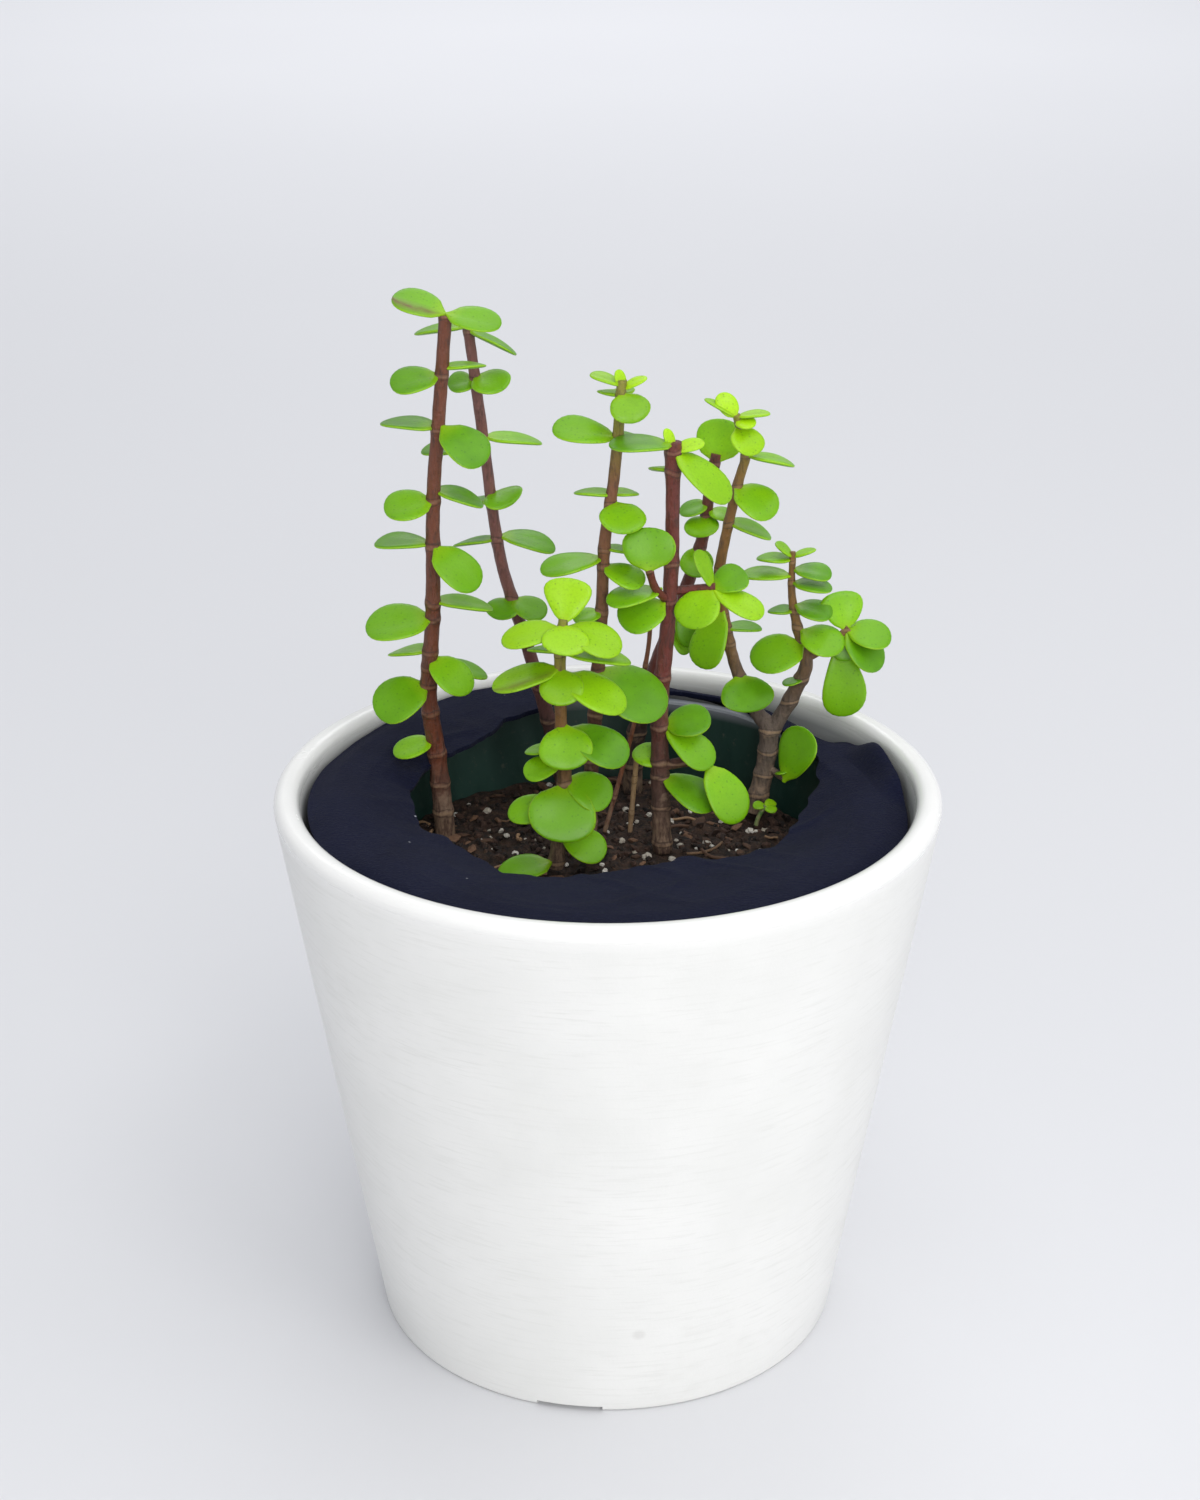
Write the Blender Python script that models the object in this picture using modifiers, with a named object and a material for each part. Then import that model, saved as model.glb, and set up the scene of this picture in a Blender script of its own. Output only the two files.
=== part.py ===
"""Elephant bush with seven fleshy-leaved stems, in a nursery pot set inside a round white planter.

Frame: origin at the bottom centre of the planter, +X to the right of the front view, +Y to the
back, +Z up. Sizes and tables are in millimetres and MM turns them into Blender's metres.
"""
import math

import bmesh
import bpy
from mathutils import Matrix, Vector

MM = 0.001
CLEARANCE = 0.3

# Planter: a tapered cup with a thick rounded rim and a foot ring with three shallow notches
PLANTER_HEIGHT = 176.0
PLANTER_RIM_RADIUS = 100.0
PLANTER_BASE_RADIUS = 72.0
PLANTER_WALL = 7.7
PLANTER_FLOOR = 9.0
RIM_ROUNDING = 3.2
FOOT_INNER_RADIUS = 60.0
FOOT_RECESS = 2.5
DRAIN_RADIUS = 9.0
NOTCH_WIDTH = 20.0
NOTCH_DEPTH = 1.8
NOTCH_AZIMUTHS = (-99.0, 21.0, 141.0)

# Nursery pot: thin plastic, standing on the planter's floor
NURSERY_TOP = 172.0
NURSERY_LIP_RADIUS = 80.5
NURSERY_LIP_DEPTH = 9.0
NURSERY_TOP_RADIUS = 78.0
NURSERY_BASE_RADIUS = 55.0
NURSERY_WALL = 1.6
NURSERY_HOLES = 6
NURSERY_HOLE_RADIUS = 4.0
NURSERY_HOLE_RING = 36.0

# Soil and felt cover
SOIL_TOP = 145.0
SOIL_SWELL = 1.2
HOLE_DEPTH = 9.0
FELT_OUTER_RADIUS = 88.3
FELT_THICKNESS = 1.5
FELT_LAP = 172.6
FELT_LAP_IN = NURSERY_TOP_RADIUS - 3.0
FELT_LAP_OUT = NURSERY_LIP_RADIUS + 1.5

# How far the soft nursery rim has sunk, every 30 degrees of azimuth from -180
RIM_DROP = ((1.5,), (3.5,), (5.0,), (5.5,), (5.5,), (5.5,), (5.5,), (5.5,), (0.5,), (0.0,), (0.0,), (0.5,))
SINKING_FROM = 120.0

ROUND_STEPS = 40
LEAF_THICKNESS = 2.0
LEAF_SIDES = 6
LEAF_RINGS = 5

# Felt: azimuth in degrees, inner edge radius, inner edge height and outer edge height
FELT_EDGE = (
    (-180, 56, 166, 171),
    (-150, 47, 163, 170),
    (-120, 41, 162, 168),
    (-90, 35, 162, 168),
    (-60, 34, 162, 167),
    (-30, 46, 162, 166),
    (0, 58, 164, 166),
    (30, 75, 167, 165),
    (60, 77, 174, 167),
    (90, 77, 175, 173),
    (120, 70, 174, 174),
    (150, 65, 172, 170),
)

# Stem routes: (x, y, z, radius), bottom to top
STEM_A = (
    (-51, 26, 146, 3.2), (-53, 26, 173, 2.8), (-55, 25, 195, 2.5), (-53, 24, 221, 2.25),
    (-52, 24, 256, 2.1), (-50, 24, 278, 2.0), (-47, 24, 312, 1.9),
)
STEM_B = (
    (-14, 61, 146, 2.8), (-19, 58, 171, 2.4), (-25, 54, 197, 2.1), (-30, 50, 216, 1.95),
    (-34, 48, 234, 1.8), (-38, 46, 270, 1.7), (-42, 46, 305, 1.6),
)
STEM_C = (
    (-6, 9, 146, 2.5), (-5, 11, 176, 2.2), (-4, 13, 190, 2.1), (-2, 16, 222, 1.85),
    (-1, 18, 245, 1.75), (2, 20, 267, 1.7), (4, 20, 294, 1.5),
)
STEM_D = (
    (17, 14, 146, 3.0), (16, 15, 173, 2.7), (16, 16, 196, 2.5), (18, 17, 220, 2.3),
    (19, 18, 242, 2.2), (19, 18, 257, 2.1), (19, 18, 276, 2.5),
)
STEM_E = (
    (8, 60, 146, 3.2), (9, 58, 166, 3.0), (15, 54, 191, 2.5), (23, 52, 215, 2.1),
    (29, 50, 235, 1.9), (31, 50, 250, 1.8), (33, 50, 263, 1.6),
)
STEM_F = (
    (47, 44, 146, 3.2), (50, 45, 160, 3.0), (51, 45, 174, 2.9), (47, 46, 180, 2.3),
    (40, 44, 196, 1.9), (36, 42, 213, 1.7), (34, 40, 224, 1.6), (35, 38, 236, 1.6),
    (39, 35, 258, 1.5), (41, 34, 268, 1.4), (38, 33, 280, 1.2),
)
STEM_G = (
    (-16, 3, 146, 2.5), (-15, 2, 154, 2.3), (-13, 0, 177, 2.1), (-14, -2, 198, 1.8),
    (-14, -3, 218, 1.7), (-13, -4, 229, 1.4),
)

# Side shoots: each starts inside its stem
SHOOTS_D = (
    ((18, 17, 227, 1.2), (14, 12, 233, 1.2), (12, 9, 240, 1.1)),
    ((19, 18, 230, 1.4), (26, 17, 231, 1.3), (32, 16, 232, 1.2)),
    ((16, 15, 174, 1.5), (23, 14, 176, 1.4), (31, 12, 177, 1.2)),
)
SHOOTS_F = (
    ((51, 45, 172, 2.6), (56, 45, 181, 2.4), (59, 44, 188, 2.3), (62, 42, 198, 2.1),
     (59, 44, 209, 1.9), (57, 45, 220, 1.7), (57, 46, 233, 1.5)),
    ((61, 42, 199, 1.5), (68, 42, 203, 1.3), (75, 43, 209, 1.2)),
)

# Leaves: (attachment x, y, z, reach right, reach back, reach up, width, lean of the face to the front)
LEAVES_A = (
    (-47, 24, 312, -15, 2, 6, 14, 0.35), (-47, 24, 312, 16, -5, -1, 13, 0.35),
    (-49, 24, 294, -14, -5, -1, 14, 0.4), (-49, 24, 296, 13, 5, 1, 11, 0.0),
    (-50, 24, 278, -17, 5, 2, 13, 0.1), (-49, 23, 279, 13, -8, -8, 15, 0.3),
    (-52, 24, 256, -14, -5, -1, 15, 0.45), (-52, 24, 259, 15, 4, -4, 13, 0.15),
    (-53, 24, 242, -17, 5, 1, 13, 0.05), (-52, 23, 242, 13, -8, -10, 15, 0.35),
    (-53, 24, 219, -20, -5, -1, 18, 0.4), (-53, 24, 224, 18, 5, -2, 15, 0.0),
    (-54, 25, 208, -13, 6, -2, 12, 0.1), (-54, 25, 206, 12, -8, -8, 14, 0.3),
    (-55, 25, 197, -16, -7, -6, 17, 0.5), (-54, 25, 203, 17, 7, -4, 12, 0.1),
    (-54, 26, 178, -12, -5, -2, 11, 0.35),
)
LEAVES_B = (
    (-42, 46, 303, -16, 2, -1, 13, 0.0), (-42, 46, 302, 15, -4, -5, 12, -0.1),
    (-40, 46, 287, -8, -2, -1, 12, 0.4), (-40, 46, 288, 9, -7, -1, 14, 0.4),
    (-38, 46, 266, -19, 1, 0, 13, 0.1), (-38, 46, 269, 18, 3, -1, 13, 0.1),
    (-36, 47, 248, -6, 8, 0, 12, 0.0), (-36, 47, 251, 7, -7, 0, 15, 0.25),
    (-34, 48, 236, -14, 4, -2, 11, 0.0), (-34, 48, 237, 18, 2, -3, 13, 0.1),
    (-30, 50, 216, -5, -8, -3, 12, 0.2), (-30, 50, 216, 10, -7, -3, 12, 0.2),
)
LEAVES_C = (
    (4, 20, 291, -1, 0, 6, 4, 0.3), (4, 20, 291, 7, 1, 4, 5, 0.3), (4, 20, 292, -9, 2, 4, 8, 0.0),
    (4, 20, 290, 4, -8, -6, 13, 0.35), (4, 20, 289, -3, 10, 0, 12, 0.0),
    (3, 20, 276, -19, 0, 5, 13, 0.3), (3, 20, 276, 7, 9, -1, 11, 0.0),
    (2, 20, 259, -12, 3, 1, 10, 0.0), (2, 20, 259, 6, 6, 0, 8, 0.0),
    (2, 19, 257, 4, -11, -5, 15, 0.2), (-1, 18, 243, 9, 3, -1, 9, 0.0),
    (-1, 18, 240, -19, -5, -1, 14, 0.1), (-1, 18, 238, 11, -8, -3, 12, 0.1),
    (-2, 16, 224, -8, -4, -1, 9, 0.2), (-3, 15, 206, 18, -13, -9, 20, 0.35),
)
LEAVES_D = (
    (19, 18, 275, -18, -8, 3, 14, 0.05), (19, 18, 273, -2, 0, 7, 4, 0.3),
    (19, 18, 273, 9, 2, 3, 6, 0.4), (19, 18, 273, 17, -7, -12, 15, 0.25),
    (19, 18, 267, -1, 13, -2, 14, -0.1), (12, 9, 239, 0, 2, 13, 17, 0.4),
    (16, 16, 231, -16, -9, 0, 12, 0.1), (17, 16, 227, -13, -7, -4, 16, 0.4),
    (31, 16, 231, -1, 2, 12, 10, 0.0), (31, 16, 231, 11, 0, 9, 12, 0.5),
    (31, 16, 231, 12, -7, -5, 14, 0.3), (31, 16, 231, -8, -9, -8, 15, 0.35),
    (17, 16, 187, 15, -8, -9, 13, 0.4), (17, 16, 187, 14, -2, 4, 13, 0.5),
    (16, 15, 171, 17, -8, -6, 15, 0.35), (30, 12, 176, 11, -8, -15, 15, 0.35),
    (16, 15, 174, -7, 5, 5, 10, 0.3),
)
LEAVES_E = (
    (33, 50, 260, 2, 4, 13, 16, 0.4), (31, 50, 247, -9, -2, -2, 10, 0.3),
    (31, 50, 243, -4, -9, -3, 12, 0.1), (31, 50, 245, 7, -4, -1, 9, 0.2),
    (28, 51, 233, -1, -8, -7, 11, 0.3), (24, 52, 214, 2, -5, -13, 9, 0.3),
    (21, 53, 206, 4, -4, -8, 7, 0.3),
)
LEAVES_F = (
    (38, 33, 279, -9, 2, 6, 6, 0.0), (38, 33, 279, -5, 2, 7, 7, 0.8),
    (38, 33, 279, 10, 1, 2, 7, 0.0), (38, 33, 278, 5, -4, 0, 7, 0.4),
    (38, 33, 276, 6, -6, -6, 12, 0.3), (41, 34, 267, 15, 1, -2, 13, 0.0),
    (38, 35, 257, 12, -7, -6, 15, 0.35), (36, 37, 245, 14, 3, -4, 13, 0.1),
    (57, 46, 231, -5, 1, 5, 7, 0.0), (57, 46, 231, 7, 1, 3, 6, 0.0),
    (57, 46, 230, -11, 2, 1, 10, 0.1), (57, 46, 227, 12, -3, 0, 11, 0.1),
    (57, 45, 225, -16, 3, 1, 11, 0.1), (57, 45, 223, 12, -4, 0, 12, 0.1),
    (58, 44, 216, 11, -5, -1, 12, 0.2), (58, 44, 214, -8, 3, 0, 9, 0.1),
    (74, 43, 208, -3, 3, 10, 13, 0.4), (74, 43, 208, 13, -3, 0, 12, 0.4),
    (74, 43, 208, 11, -6, -8, 12, 0.4), (74, 43, 208, -1, -5, -8, 9, 0.3),
    (60, 43, 208, 12, -8, -3, 15, 0.4), (61, 42, 204, -15, -6, -4, 17, 0.5),
    (72, 43, 205, 3, -5, -22, 14, 0.4), (41, 44, 193, 4, -10, -8, 19, 0.35),
    (61, 43, 192, -6, -4, 0, 6, 0.0), (36, 42, 210, 10, 3, 0, 10, 0.3),
    (36, 41, 216, -5, -5, -13, 13, 0.3), (52, 44, 174, 7, -15, -11, 12, 0.5),
    (51, 44, 169, 2, -6, -6, 5, 0.2),
)
LEAVES_G = (
    (-13, -4, 227, 2, 5, 13, 15, 0.4), (-14, -4, 226, -17, -4, -2, 13, 0.35),
    (-13, -4, 227, 1, -10, -5, 15, 0.35), (-13, -4, 226, 17, -5, -4, 14, 0.35),
    (-13, -4, 218, 20, 3, -2, 13, 0.1), (-14, -3, 218, -9, 6, 0, 10, -0.2),
    (-14, -3, 213, -20, -5, -3, 13, 0.3), (-14, -3, 213, 1, -10, -7, 14, 0.35),
    (-13, -3, 211, 18, -8, -7, 16, 0.35), (-13, -2, 195, 1, -10, -10, 17, 0.35),
    (-13, -1, 193, 19, -7, -6, 15, 0.4), (-14, 0, 182, -11, -4, -2, 10, 0.35),
    (-14, 0, 186, -11, 3, -1, 8, 0.2), (-13, 0, 175, -1, -13, -13, 22, 0.35),
    (-13, 1, 176, 14, -4, -5, 14, 0.5), (-15, 1, 168, -15, -4, -2, 13, 0.45),
    (-14, 2, 158, 13, -6, -5, 13, 0.35), (-17, 1, 148, -16, -7, 0, 12, 0.25),
)

# Thin stalks and the seedling weed: (x, y, z, radius)
THIN_SHOOT_RED = ((-1, 28, 146, 0.7), (4, 29, 165, 0.7), (8, 29, 182, 0.7), (12, 29, 205, 0.7),
                  (13, 29, 216, 0.7))
THIN_SHOOT_TAN = ((7, 28, 146, 0.8), (8, 30, 158, 0.8), (9, 31, 170, 0.8))
WEED_STALK = ((47, 33, 146, 0.7), (48, 34, 149, 0.7), (50, 35, 152, 0.7))
WEED_LEAVES = (
    (50, 35, 151.5, -4, 0, 1, 4, 0.3), (50, 35, 151.5, 3, 3, 1, 4, 0.3),
    (50, 35, 151.5, 3, -3, 0, 4, 0.3),
)


def clear_scene():
    for item in list(bpy.data.objects):
        bpy.data.objects.remove(item, do_unlink=True)


def new_collection(name):
    group = bpy.data.collections.new(name)
    bpy.context.scene.collection.children.link(group)
    return group


def principled(name, colour, roughness, metallic=0.0):
    material = bpy.data.materials.new(name)
    material.use_nodes = True
    shader = material.node_tree.nodes["Principled BSDF"]
    shader.inputs["Base Color"].default_value = (*colour, 1.0)
    shader.inputs["Roughness"].default_value = roughness
    shader.inputs["Metallic"].default_value = metallic
    material.diffuse_color = (*colour, 1.0)
    return material


def add_mesh(group, name, mesh):
    item = bpy.data.objects.new(name, mesh)
    group.objects.link(item)
    return item


def made_mesh(item, group, name):
    """Replace an object with modifiers or a curve by a plain mesh object."""
    bpy.context.view_layer.update()
    graph = bpy.context.evaluated_depsgraph_get()
    mesh = bpy.data.meshes.new_from_object(item.evaluated_get(graph))
    place = item.matrix_world.copy()
    bpy.data.objects.remove(item, do_unlink=True)
    weld = bmesh.new()
    weld.from_mesh(mesh)
    bmesh.ops.remove_doubles(weld, verts=weld.verts, dist=0.00001)
    weld.to_mesh(mesh)
    weld.free()
    result = add_mesh(group, name, mesh)
    result.matrix_world = place
    return result


def smooth(item, degrees=40.0):
    item.data.shade_smooth()
    item.data.set_sharp_from_angle(angle=math.radians(degrees))


def turned(group, name, profile, steps=ROUND_STEPS):
    """Turn a closed profile of (radius, height) about Z; its outer side runs top to bottom."""
    mesh = bpy.data.meshes.new(name)
    points = [(radius * MM, 0.0, height * MM) for radius, height in profile]
    edges = [(i, (i + 1) % len(points)) for i in range(len(points))]
    mesh.from_pydata(points, edges, [])
    item = add_mesh(group, name, mesh)
    screw = item.modifiers.new("turn", "SCREW")
    screw.axis = "Z"
    screw.angle = math.tau
    screw.steps = steps
    screw.render_steps = steps
    screw.use_merge_vertices = True
    screw.merge_threshold = 0.00001
    screw.use_normal_calculate = True
    return made_mesh(item, group, name)


def arc(centre, radius, start, end, count):
    """Points on an arc in the (radius, height) plane, angles in degrees."""
    points = []
    for i in range(count + 1):
        angle = math.radians(start + (end - start) * i / count)
        points.append((centre[0] + radius * math.cos(angle), centre[1] + radius * math.sin(angle)))
    return points


def cut(item, cutter):
    cutter.hide_render = True
    cutter.display_type = "WIRE"
    boolean = item.modifiers.new("cut " + cutter.name, "BOOLEAN")
    boolean.operation = "DIFFERENCE"
    boolean.solver = "EXACT"
    boolean.object = cutter


def post_cutter(group, name, place, radius, bottom, top, sides=24):
    bpy.ops.mesh.primitive_cylinder_add(
        vertices=sides, radius=radius * MM, depth=(top - bottom) * MM,
        location=(place[0] * MM, place[1] * MM, 0.5 * (top + bottom) * MM))
    cutter = bpy.context.object
    cutter.name = name
    for home in list(cutter.users_collection):
        home.objects.unlink(cutter)
    group.objects.link(cutter)
    return cutter


def build_planter(parts, cutters):
    slope = (PLANTER_RIM_RADIUS - PLANTER_BASE_RADIUS) / PLANTER_HEIGHT
    lean = math.degrees(math.atan(slope))

    def outer(height):
        return PLANTER_BASE_RADIUS + slope * height

    inner_floor = outer(PLANTER_FLOOR) - PLANTER_WALL
    crown = PLANTER_HEIGHT - RIM_ROUNDING
    outer_round = (PLANTER_RIM_RADIUS - RIM_ROUNDING, crown)
    inner_round = (PLANTER_RIM_RADIUS - PLANTER_WALL + RIM_ROUNDING, crown)
    foot_round = (PLANTER_BASE_RADIUS - 1.0, 1.5)
    profile = [(DRAIN_RADIUS, PLANTER_FLOOR), (inner_floor - 5.0, PLANTER_FLOOR)]
    profile += [(inner_floor, PLANTER_FLOOR + 5.0)]
    profile += arc(inner_round, RIM_ROUNDING, 180.0 - lean, 90.0, 3)
    profile += arc(outer_round, RIM_ROUNDING, 90.0, -lean, 4)
    profile += arc(foot_round, 1.5, -lean, -90.0, 2)
    profile += [(FOOT_INNER_RADIUS, 0.0), (FOOT_INNER_RADIUS - 1.5, FOOT_RECESS)]
    profile += [(DRAIN_RADIUS, FOOT_RECESS)]
    planter = turned(parts, "planter", profile, 48)
    for index, azimuth in enumerate(NOTCH_AZIMUTHS):
        bpy.ops.mesh.primitive_cube_add(size=1.0)
        notch = bpy.context.object
        notch.name = "notch_cutter_%d" % index
        for home in list(notch.users_collection):
            home.objects.unlink(notch)
        cutters.objects.link(notch)
        reach = PLANTER_BASE_RADIUS - FOOT_INNER_RADIUS + 12.0
        middle = 0.5 * (PLANTER_BASE_RADIUS + FOOT_INNER_RADIUS)
        size = Matrix.Diagonal((reach * MM, NOTCH_WIDTH * MM, 2.0 * NOTCH_DEPTH * MM, 1.0))
        turn = Matrix.Rotation(math.radians(azimuth), 4, "Z")
        notch.data.transform(turn @ Matrix.Translation((middle * MM, 0.0, 0.0)) @ size)
        cut(planter, notch)
    planter.data.materials.append(principled("planter_white", (0.72, 0.73, 0.76), 0.55))
    smooth(planter)


def nursery_outer(height):
    """Outer radius of the nursery pot's wall at a height above the table."""
    bottom = PLANTER_FLOOR + CLEARANCE
    share = (height - bottom) / (NURSERY_TOP - bottom)
    return NURSERY_BASE_RADIUS + (NURSERY_TOP_RADIUS - NURSERY_BASE_RADIUS) * share


def eased(table, azimuth, column):
    """Read a column of a table that closes around the circle from -180 degrees, eased between rows."""
    step = 360.0 / len(table)
    place = ((azimuth + 180.0) % 360.0) / step
    row = int(place) % len(table)
    share = place - int(place)
    share = share * share * (3.0 - 2.0 * share)
    here = table[row][column]
    after = table[(row + 1) % len(table)][column]
    return here + (after - here) * share


def sunk_rim(item):
    """Lower the top of a mesh by the rim's drop, fading out down the wall."""
    for vertex in item.data.vertices:
        height = vertex.co.z / MM
        azimuth = math.degrees(math.atan2(vertex.co.y, vertex.co.x))
        share = (height - SINKING_FROM) / (NURSERY_TOP - NURSERY_LIP_DEPTH - SINKING_FROM)
        share = min(1.0, max(0.0, share))
        vertex.co.z -= eased(RIM_DROP, azimuth, 0) * share * MM


def build_nursery_pot(parts, cutters):
    bottom = PLANTER_FLOOR + CLEARANCE
    floor = bottom + NURSERY_WALL
    lip_foot = NURSERY_TOP - NURSERY_LIP_DEPTH
    inner_top = NURSERY_TOP_RADIUS - NURSERY_WALL
    inner_foot = nursery_outer(floor) - NURSERY_WALL
    inner_step = inner_foot + (inner_top - inner_foot) * (SINKING_FROM - floor) / (NURSERY_TOP - floor)
    profile = [(2.0, floor), (inner_foot, floor), (inner_step, SINKING_FROM), (inner_top, NURSERY_TOP)]
    profile += [(NURSERY_LIP_RADIUS, NURSERY_TOP), (NURSERY_LIP_RADIUS, lip_foot)]
    profile += [(nursery_outer(lip_foot), lip_foot), (nursery_outer(SINKING_FROM), SINKING_FROM)]
    profile += [(nursery_outer(bottom), bottom), (2.0, bottom)]
    pot = turned(parts, "nursery_pot", profile)
    sunk_rim(pot)
    for index in range(NURSERY_HOLES):
        angle = math.tau * index / NURSERY_HOLES
        place = (NURSERY_HOLE_RING * math.cos(angle), NURSERY_HOLE_RING * math.sin(angle))
        name = "pot_hole_cutter_%d" % index
        cut(pot, post_cutter(cutters, name, place, NURSERY_HOLE_RADIUS, bottom - 2.0, floor + 2.0, 10))
    pot.data.materials.append(principled("nursery_dark_green", (0.012, 0.03, 0.024), 0.35))
    smooth(pot)


def soil_height(x, y):
    """Gently uneven soil surface."""
    wave = math.sin(x * 0.11 + 0.6) + math.sin(y * 0.13 - 0.4) + math.sin((x + y) * 0.19)
    return SOIL_TOP + SOIL_SWELL * wave / 3.0


def build_soil(parts, cutters, stems):
    gap = NURSERY_WALL + CLEARANCE + 0.1
    bottom = PLANTER_FLOOR + CLEARANCE + NURSERY_WALL + CLEARANCE
    profile = [(0.5, SOIL_TOP)]
    profile += [(radius, SOIL_TOP) for radius in (14.0, 28.0, 42.0, 56.0)]
    profile += [(nursery_outer(SOIL_TOP) - gap, SOIL_TOP), (nursery_outer(bottom) - gap, bottom)]
    profile += [(0.5, bottom)]
    soil = turned(parts, "soil", profile, 32)
    fill = bmesh.new()
    fill.from_mesh(soil.data)
    core = [v for v in fill.verts if math.hypot(v.co.x, v.co.y) < 1.0 * MM]
    tops = [v for v in core if v.co.z > 0.5 * SOIL_TOP * MM]
    lows = [v for v in core if v.co.z <= 0.5 * SOIL_TOP * MM]
    bmesh.ops.pointmerge(fill, verts=tops, merge_co=(0.0, 0.0, SOIL_TOP * MM))
    bmesh.ops.pointmerge(fill, verts=lows, merge_co=(0.0, 0.0, bottom * MM))
    bmesh.ops.dissolve_degenerate(fill, edges=fill.edges, dist=0.000001)
    for vertex in fill.verts:
        if vertex.co.z > (SOIL_TOP - 1.0) * MM:
            vertex.co.z = soil_height(vertex.co.x / MM, vertex.co.y / MM) * MM
    fill.to_mesh(soil.data)
    fill.free()
    for name, (x, y, _, radius) in stems.items():
        bore = radius + CLEARANCE + 0.1
        bottom_of_hole = SOIL_TOP - HOLE_DEPTH - CLEARANCE
        cut(soil, post_cutter(cutters, name + "_hole_cutter", (x, y), bore, bottom_of_hole,
                              SOIL_TOP + 8.0, 12))
    soil.data.materials.append(principled("soil_brown", (0.06, 0.035, 0.022), 0.95))
    smooth(soil)


def felt_height(azimuth, radius):
    """Height of the felt's underside: over the nursery rim, down to the wall and to the hole."""
    inner_radius = eased(FELT_EDGE, azimuth, 1)
    inner_height = eased(FELT_EDGE, azimuth, 2)
    outer_height = eased(FELT_EDGE, azimuth, 3)
    lap = FELT_LAP - eased(RIM_DROP, azimuth, 0)
    if radius >= FELT_LAP_OUT:
        share = (radius - FELT_LAP_OUT) / (FELT_OUTER_RADIUS - FELT_LAP_OUT)
        return lap + (outer_height - FELT_THICKNESS - lap) * share * share * (3 - 2 * share)
    if radius >= FELT_LAP_IN:
        return lap
    share = (FELT_LAP_IN - radius) / max(FELT_LAP_IN - inner_radius, 1.0)
    return lap + (inner_height - FELT_THICKNESS - lap) * min(share, 1.0) ** 1.3


def build_felt_cover(parts):
    """A ring of laid felt: an open grid around the circle, thickened upward."""
    mesh = bmesh.new()
    grid = []
    for i in range(ROUND_STEPS):
        azimuth = -180.0 + 360.0 * i / ROUND_STEPS
        inner = eased(FELT_EDGE, azimuth, 1)
        lap = max(FELT_LAP_IN, inner + 1.0)
        angle = math.radians(azimuth)
        line = []
        slope = 0.5 * (FELT_LAP_OUT + FELT_OUTER_RADIUS)
        for radius in (inner, 0.5 * (inner + lap), lap, FELT_LAP_OUT, slope, FELT_OUTER_RADIUS):
            height = felt_height(azimuth, radius)
            place = Vector((radius * math.cos(angle), radius * math.sin(angle), height))
            line.append(mesh.verts.new(place * MM))
        grid.append(line)
    for i in range(ROUND_STEPS):
        after = grid[(i + 1) % ROUND_STEPS]
        for j in range(len(after) - 1):
            mesh.faces.new((grid[i][j], grid[i][j + 1], after[j + 1], after[j]))
    bmesh.ops.recalc_face_normals(mesh, faces=mesh.faces)
    sheet = bpy.data.meshes.new("felt_cover")
    mesh.to_mesh(sheet)
    mesh.free()
    felt = add_mesh(parts, "felt_cover", sheet)
    solid = felt.modifiers.new("thickness", "SOLIDIFY")
    solid.thickness = FELT_THICKNESS * MM
    solid.offset = 1.0
    felt.data.materials.append(principled("felt_navy", (0.012, 0.014, 0.03), 0.95))
    smooth(felt)


def through(points, per_span=2):
    """Points read from a smooth curve through a route, radius included."""
    route = [Vector(p) for p in points]
    ends = [route[0] * 2.0 - route[1]] + route + [route[-1] * 2.0 - route[-2]]
    result = []
    for i in range(1, len(ends) - 2):
        a, b, c, d = ends[i - 1:i + 3]
        for k in range(per_span):
            t = k / per_span
            result.append(0.5 * ((2.0 * b) + (c - a) * t + (2.0 * a - 5.0 * b + 4.0 * c - d) * t * t
                                 + (3.0 * b - a - 3.0 * c + d) * t ** 3))
    result.append(route[-1])
    return result


def tube(group, name, points, resolution=2):
    """A tapered round tube along a list of (x, y, z, radius)."""
    curve = bpy.data.curves.new(name, "CURVE")
    curve.dimensions = "3D"
    curve.bevel_depth = MM
    curve.bevel_resolution = resolution
    curve.use_fill_caps = True
    spline = curve.splines.new("POLY")
    spline.points.add(len(points) - 1)
    for target, (x, y, z, radius) in zip(spline.points, points):
        target.co = (x * MM, y * MM, z * MM, 1.0)
        target.radius = radius
    item = bpy.data.objects.new(name, curve)
    group.objects.link(item)
    return made_mesh(item, group, name)


def leaf_blade(group, name, leaf):
    """A fleshy obovate blade: a ball flattened and widened by rule, rooted at its attachment."""
    x, y, z, right, back, up, width, lean = leaf
    along = Vector((right, back, up))
    length = along.length
    along.normalize()
    across = Vector((0.0, -lean, 1.0)).cross(along)
    if across.length < 0.2:
        across = Vector((-1.0, 0.0, 0.0))
    across.normalize()
    upper = along.cross(across)
    ball = bmesh.new()
    bmesh.ops.create_uvsphere(ball, u_segments=LEAF_SIDES, v_segments=LEAF_RINGS, radius=1.0)
    thickness = LEAF_THICKNESS * min(1.0, 0.4 + width / 24.0)
    for vertex in ball.verts:
        share = 0.5 * (1.0 + vertex.co.z)
        ring = math.sqrt(max(1.0 - vertex.co.z ** 2, 0.0))
        side = vertex.co.x / ring if ring > 1e-6 else 0.0
        rise = vertex.co.y / ring if ring > 1e-6 else 0.0
        spread = ring * (0.76 + 0.34 * share) * min(1.0, 0.5 + 2.5 * share)
        body = max(ring, 0.55 if 0.0 < share < 0.2 else 0.0)
        sag = -0.10 * length * share * share + 0.02 * length
        cup = 0.05 * width * (side * spread) ** 2
        place = along * (length * share) + across * (0.5 * width * side * spread)
        place += upper * (0.5 * thickness * rise * body + sag + cup)
        vertex.co = (Vector((x, y, z)) + place) * MM
    mesh = bpy.data.meshes.new(name)
    bmesh.ops.recalc_face_normals(ball, faces=ball.faces)
    ball.to_mesh(mesh)
    ball.free()
    return add_mesh(group, name, mesh)


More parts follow.
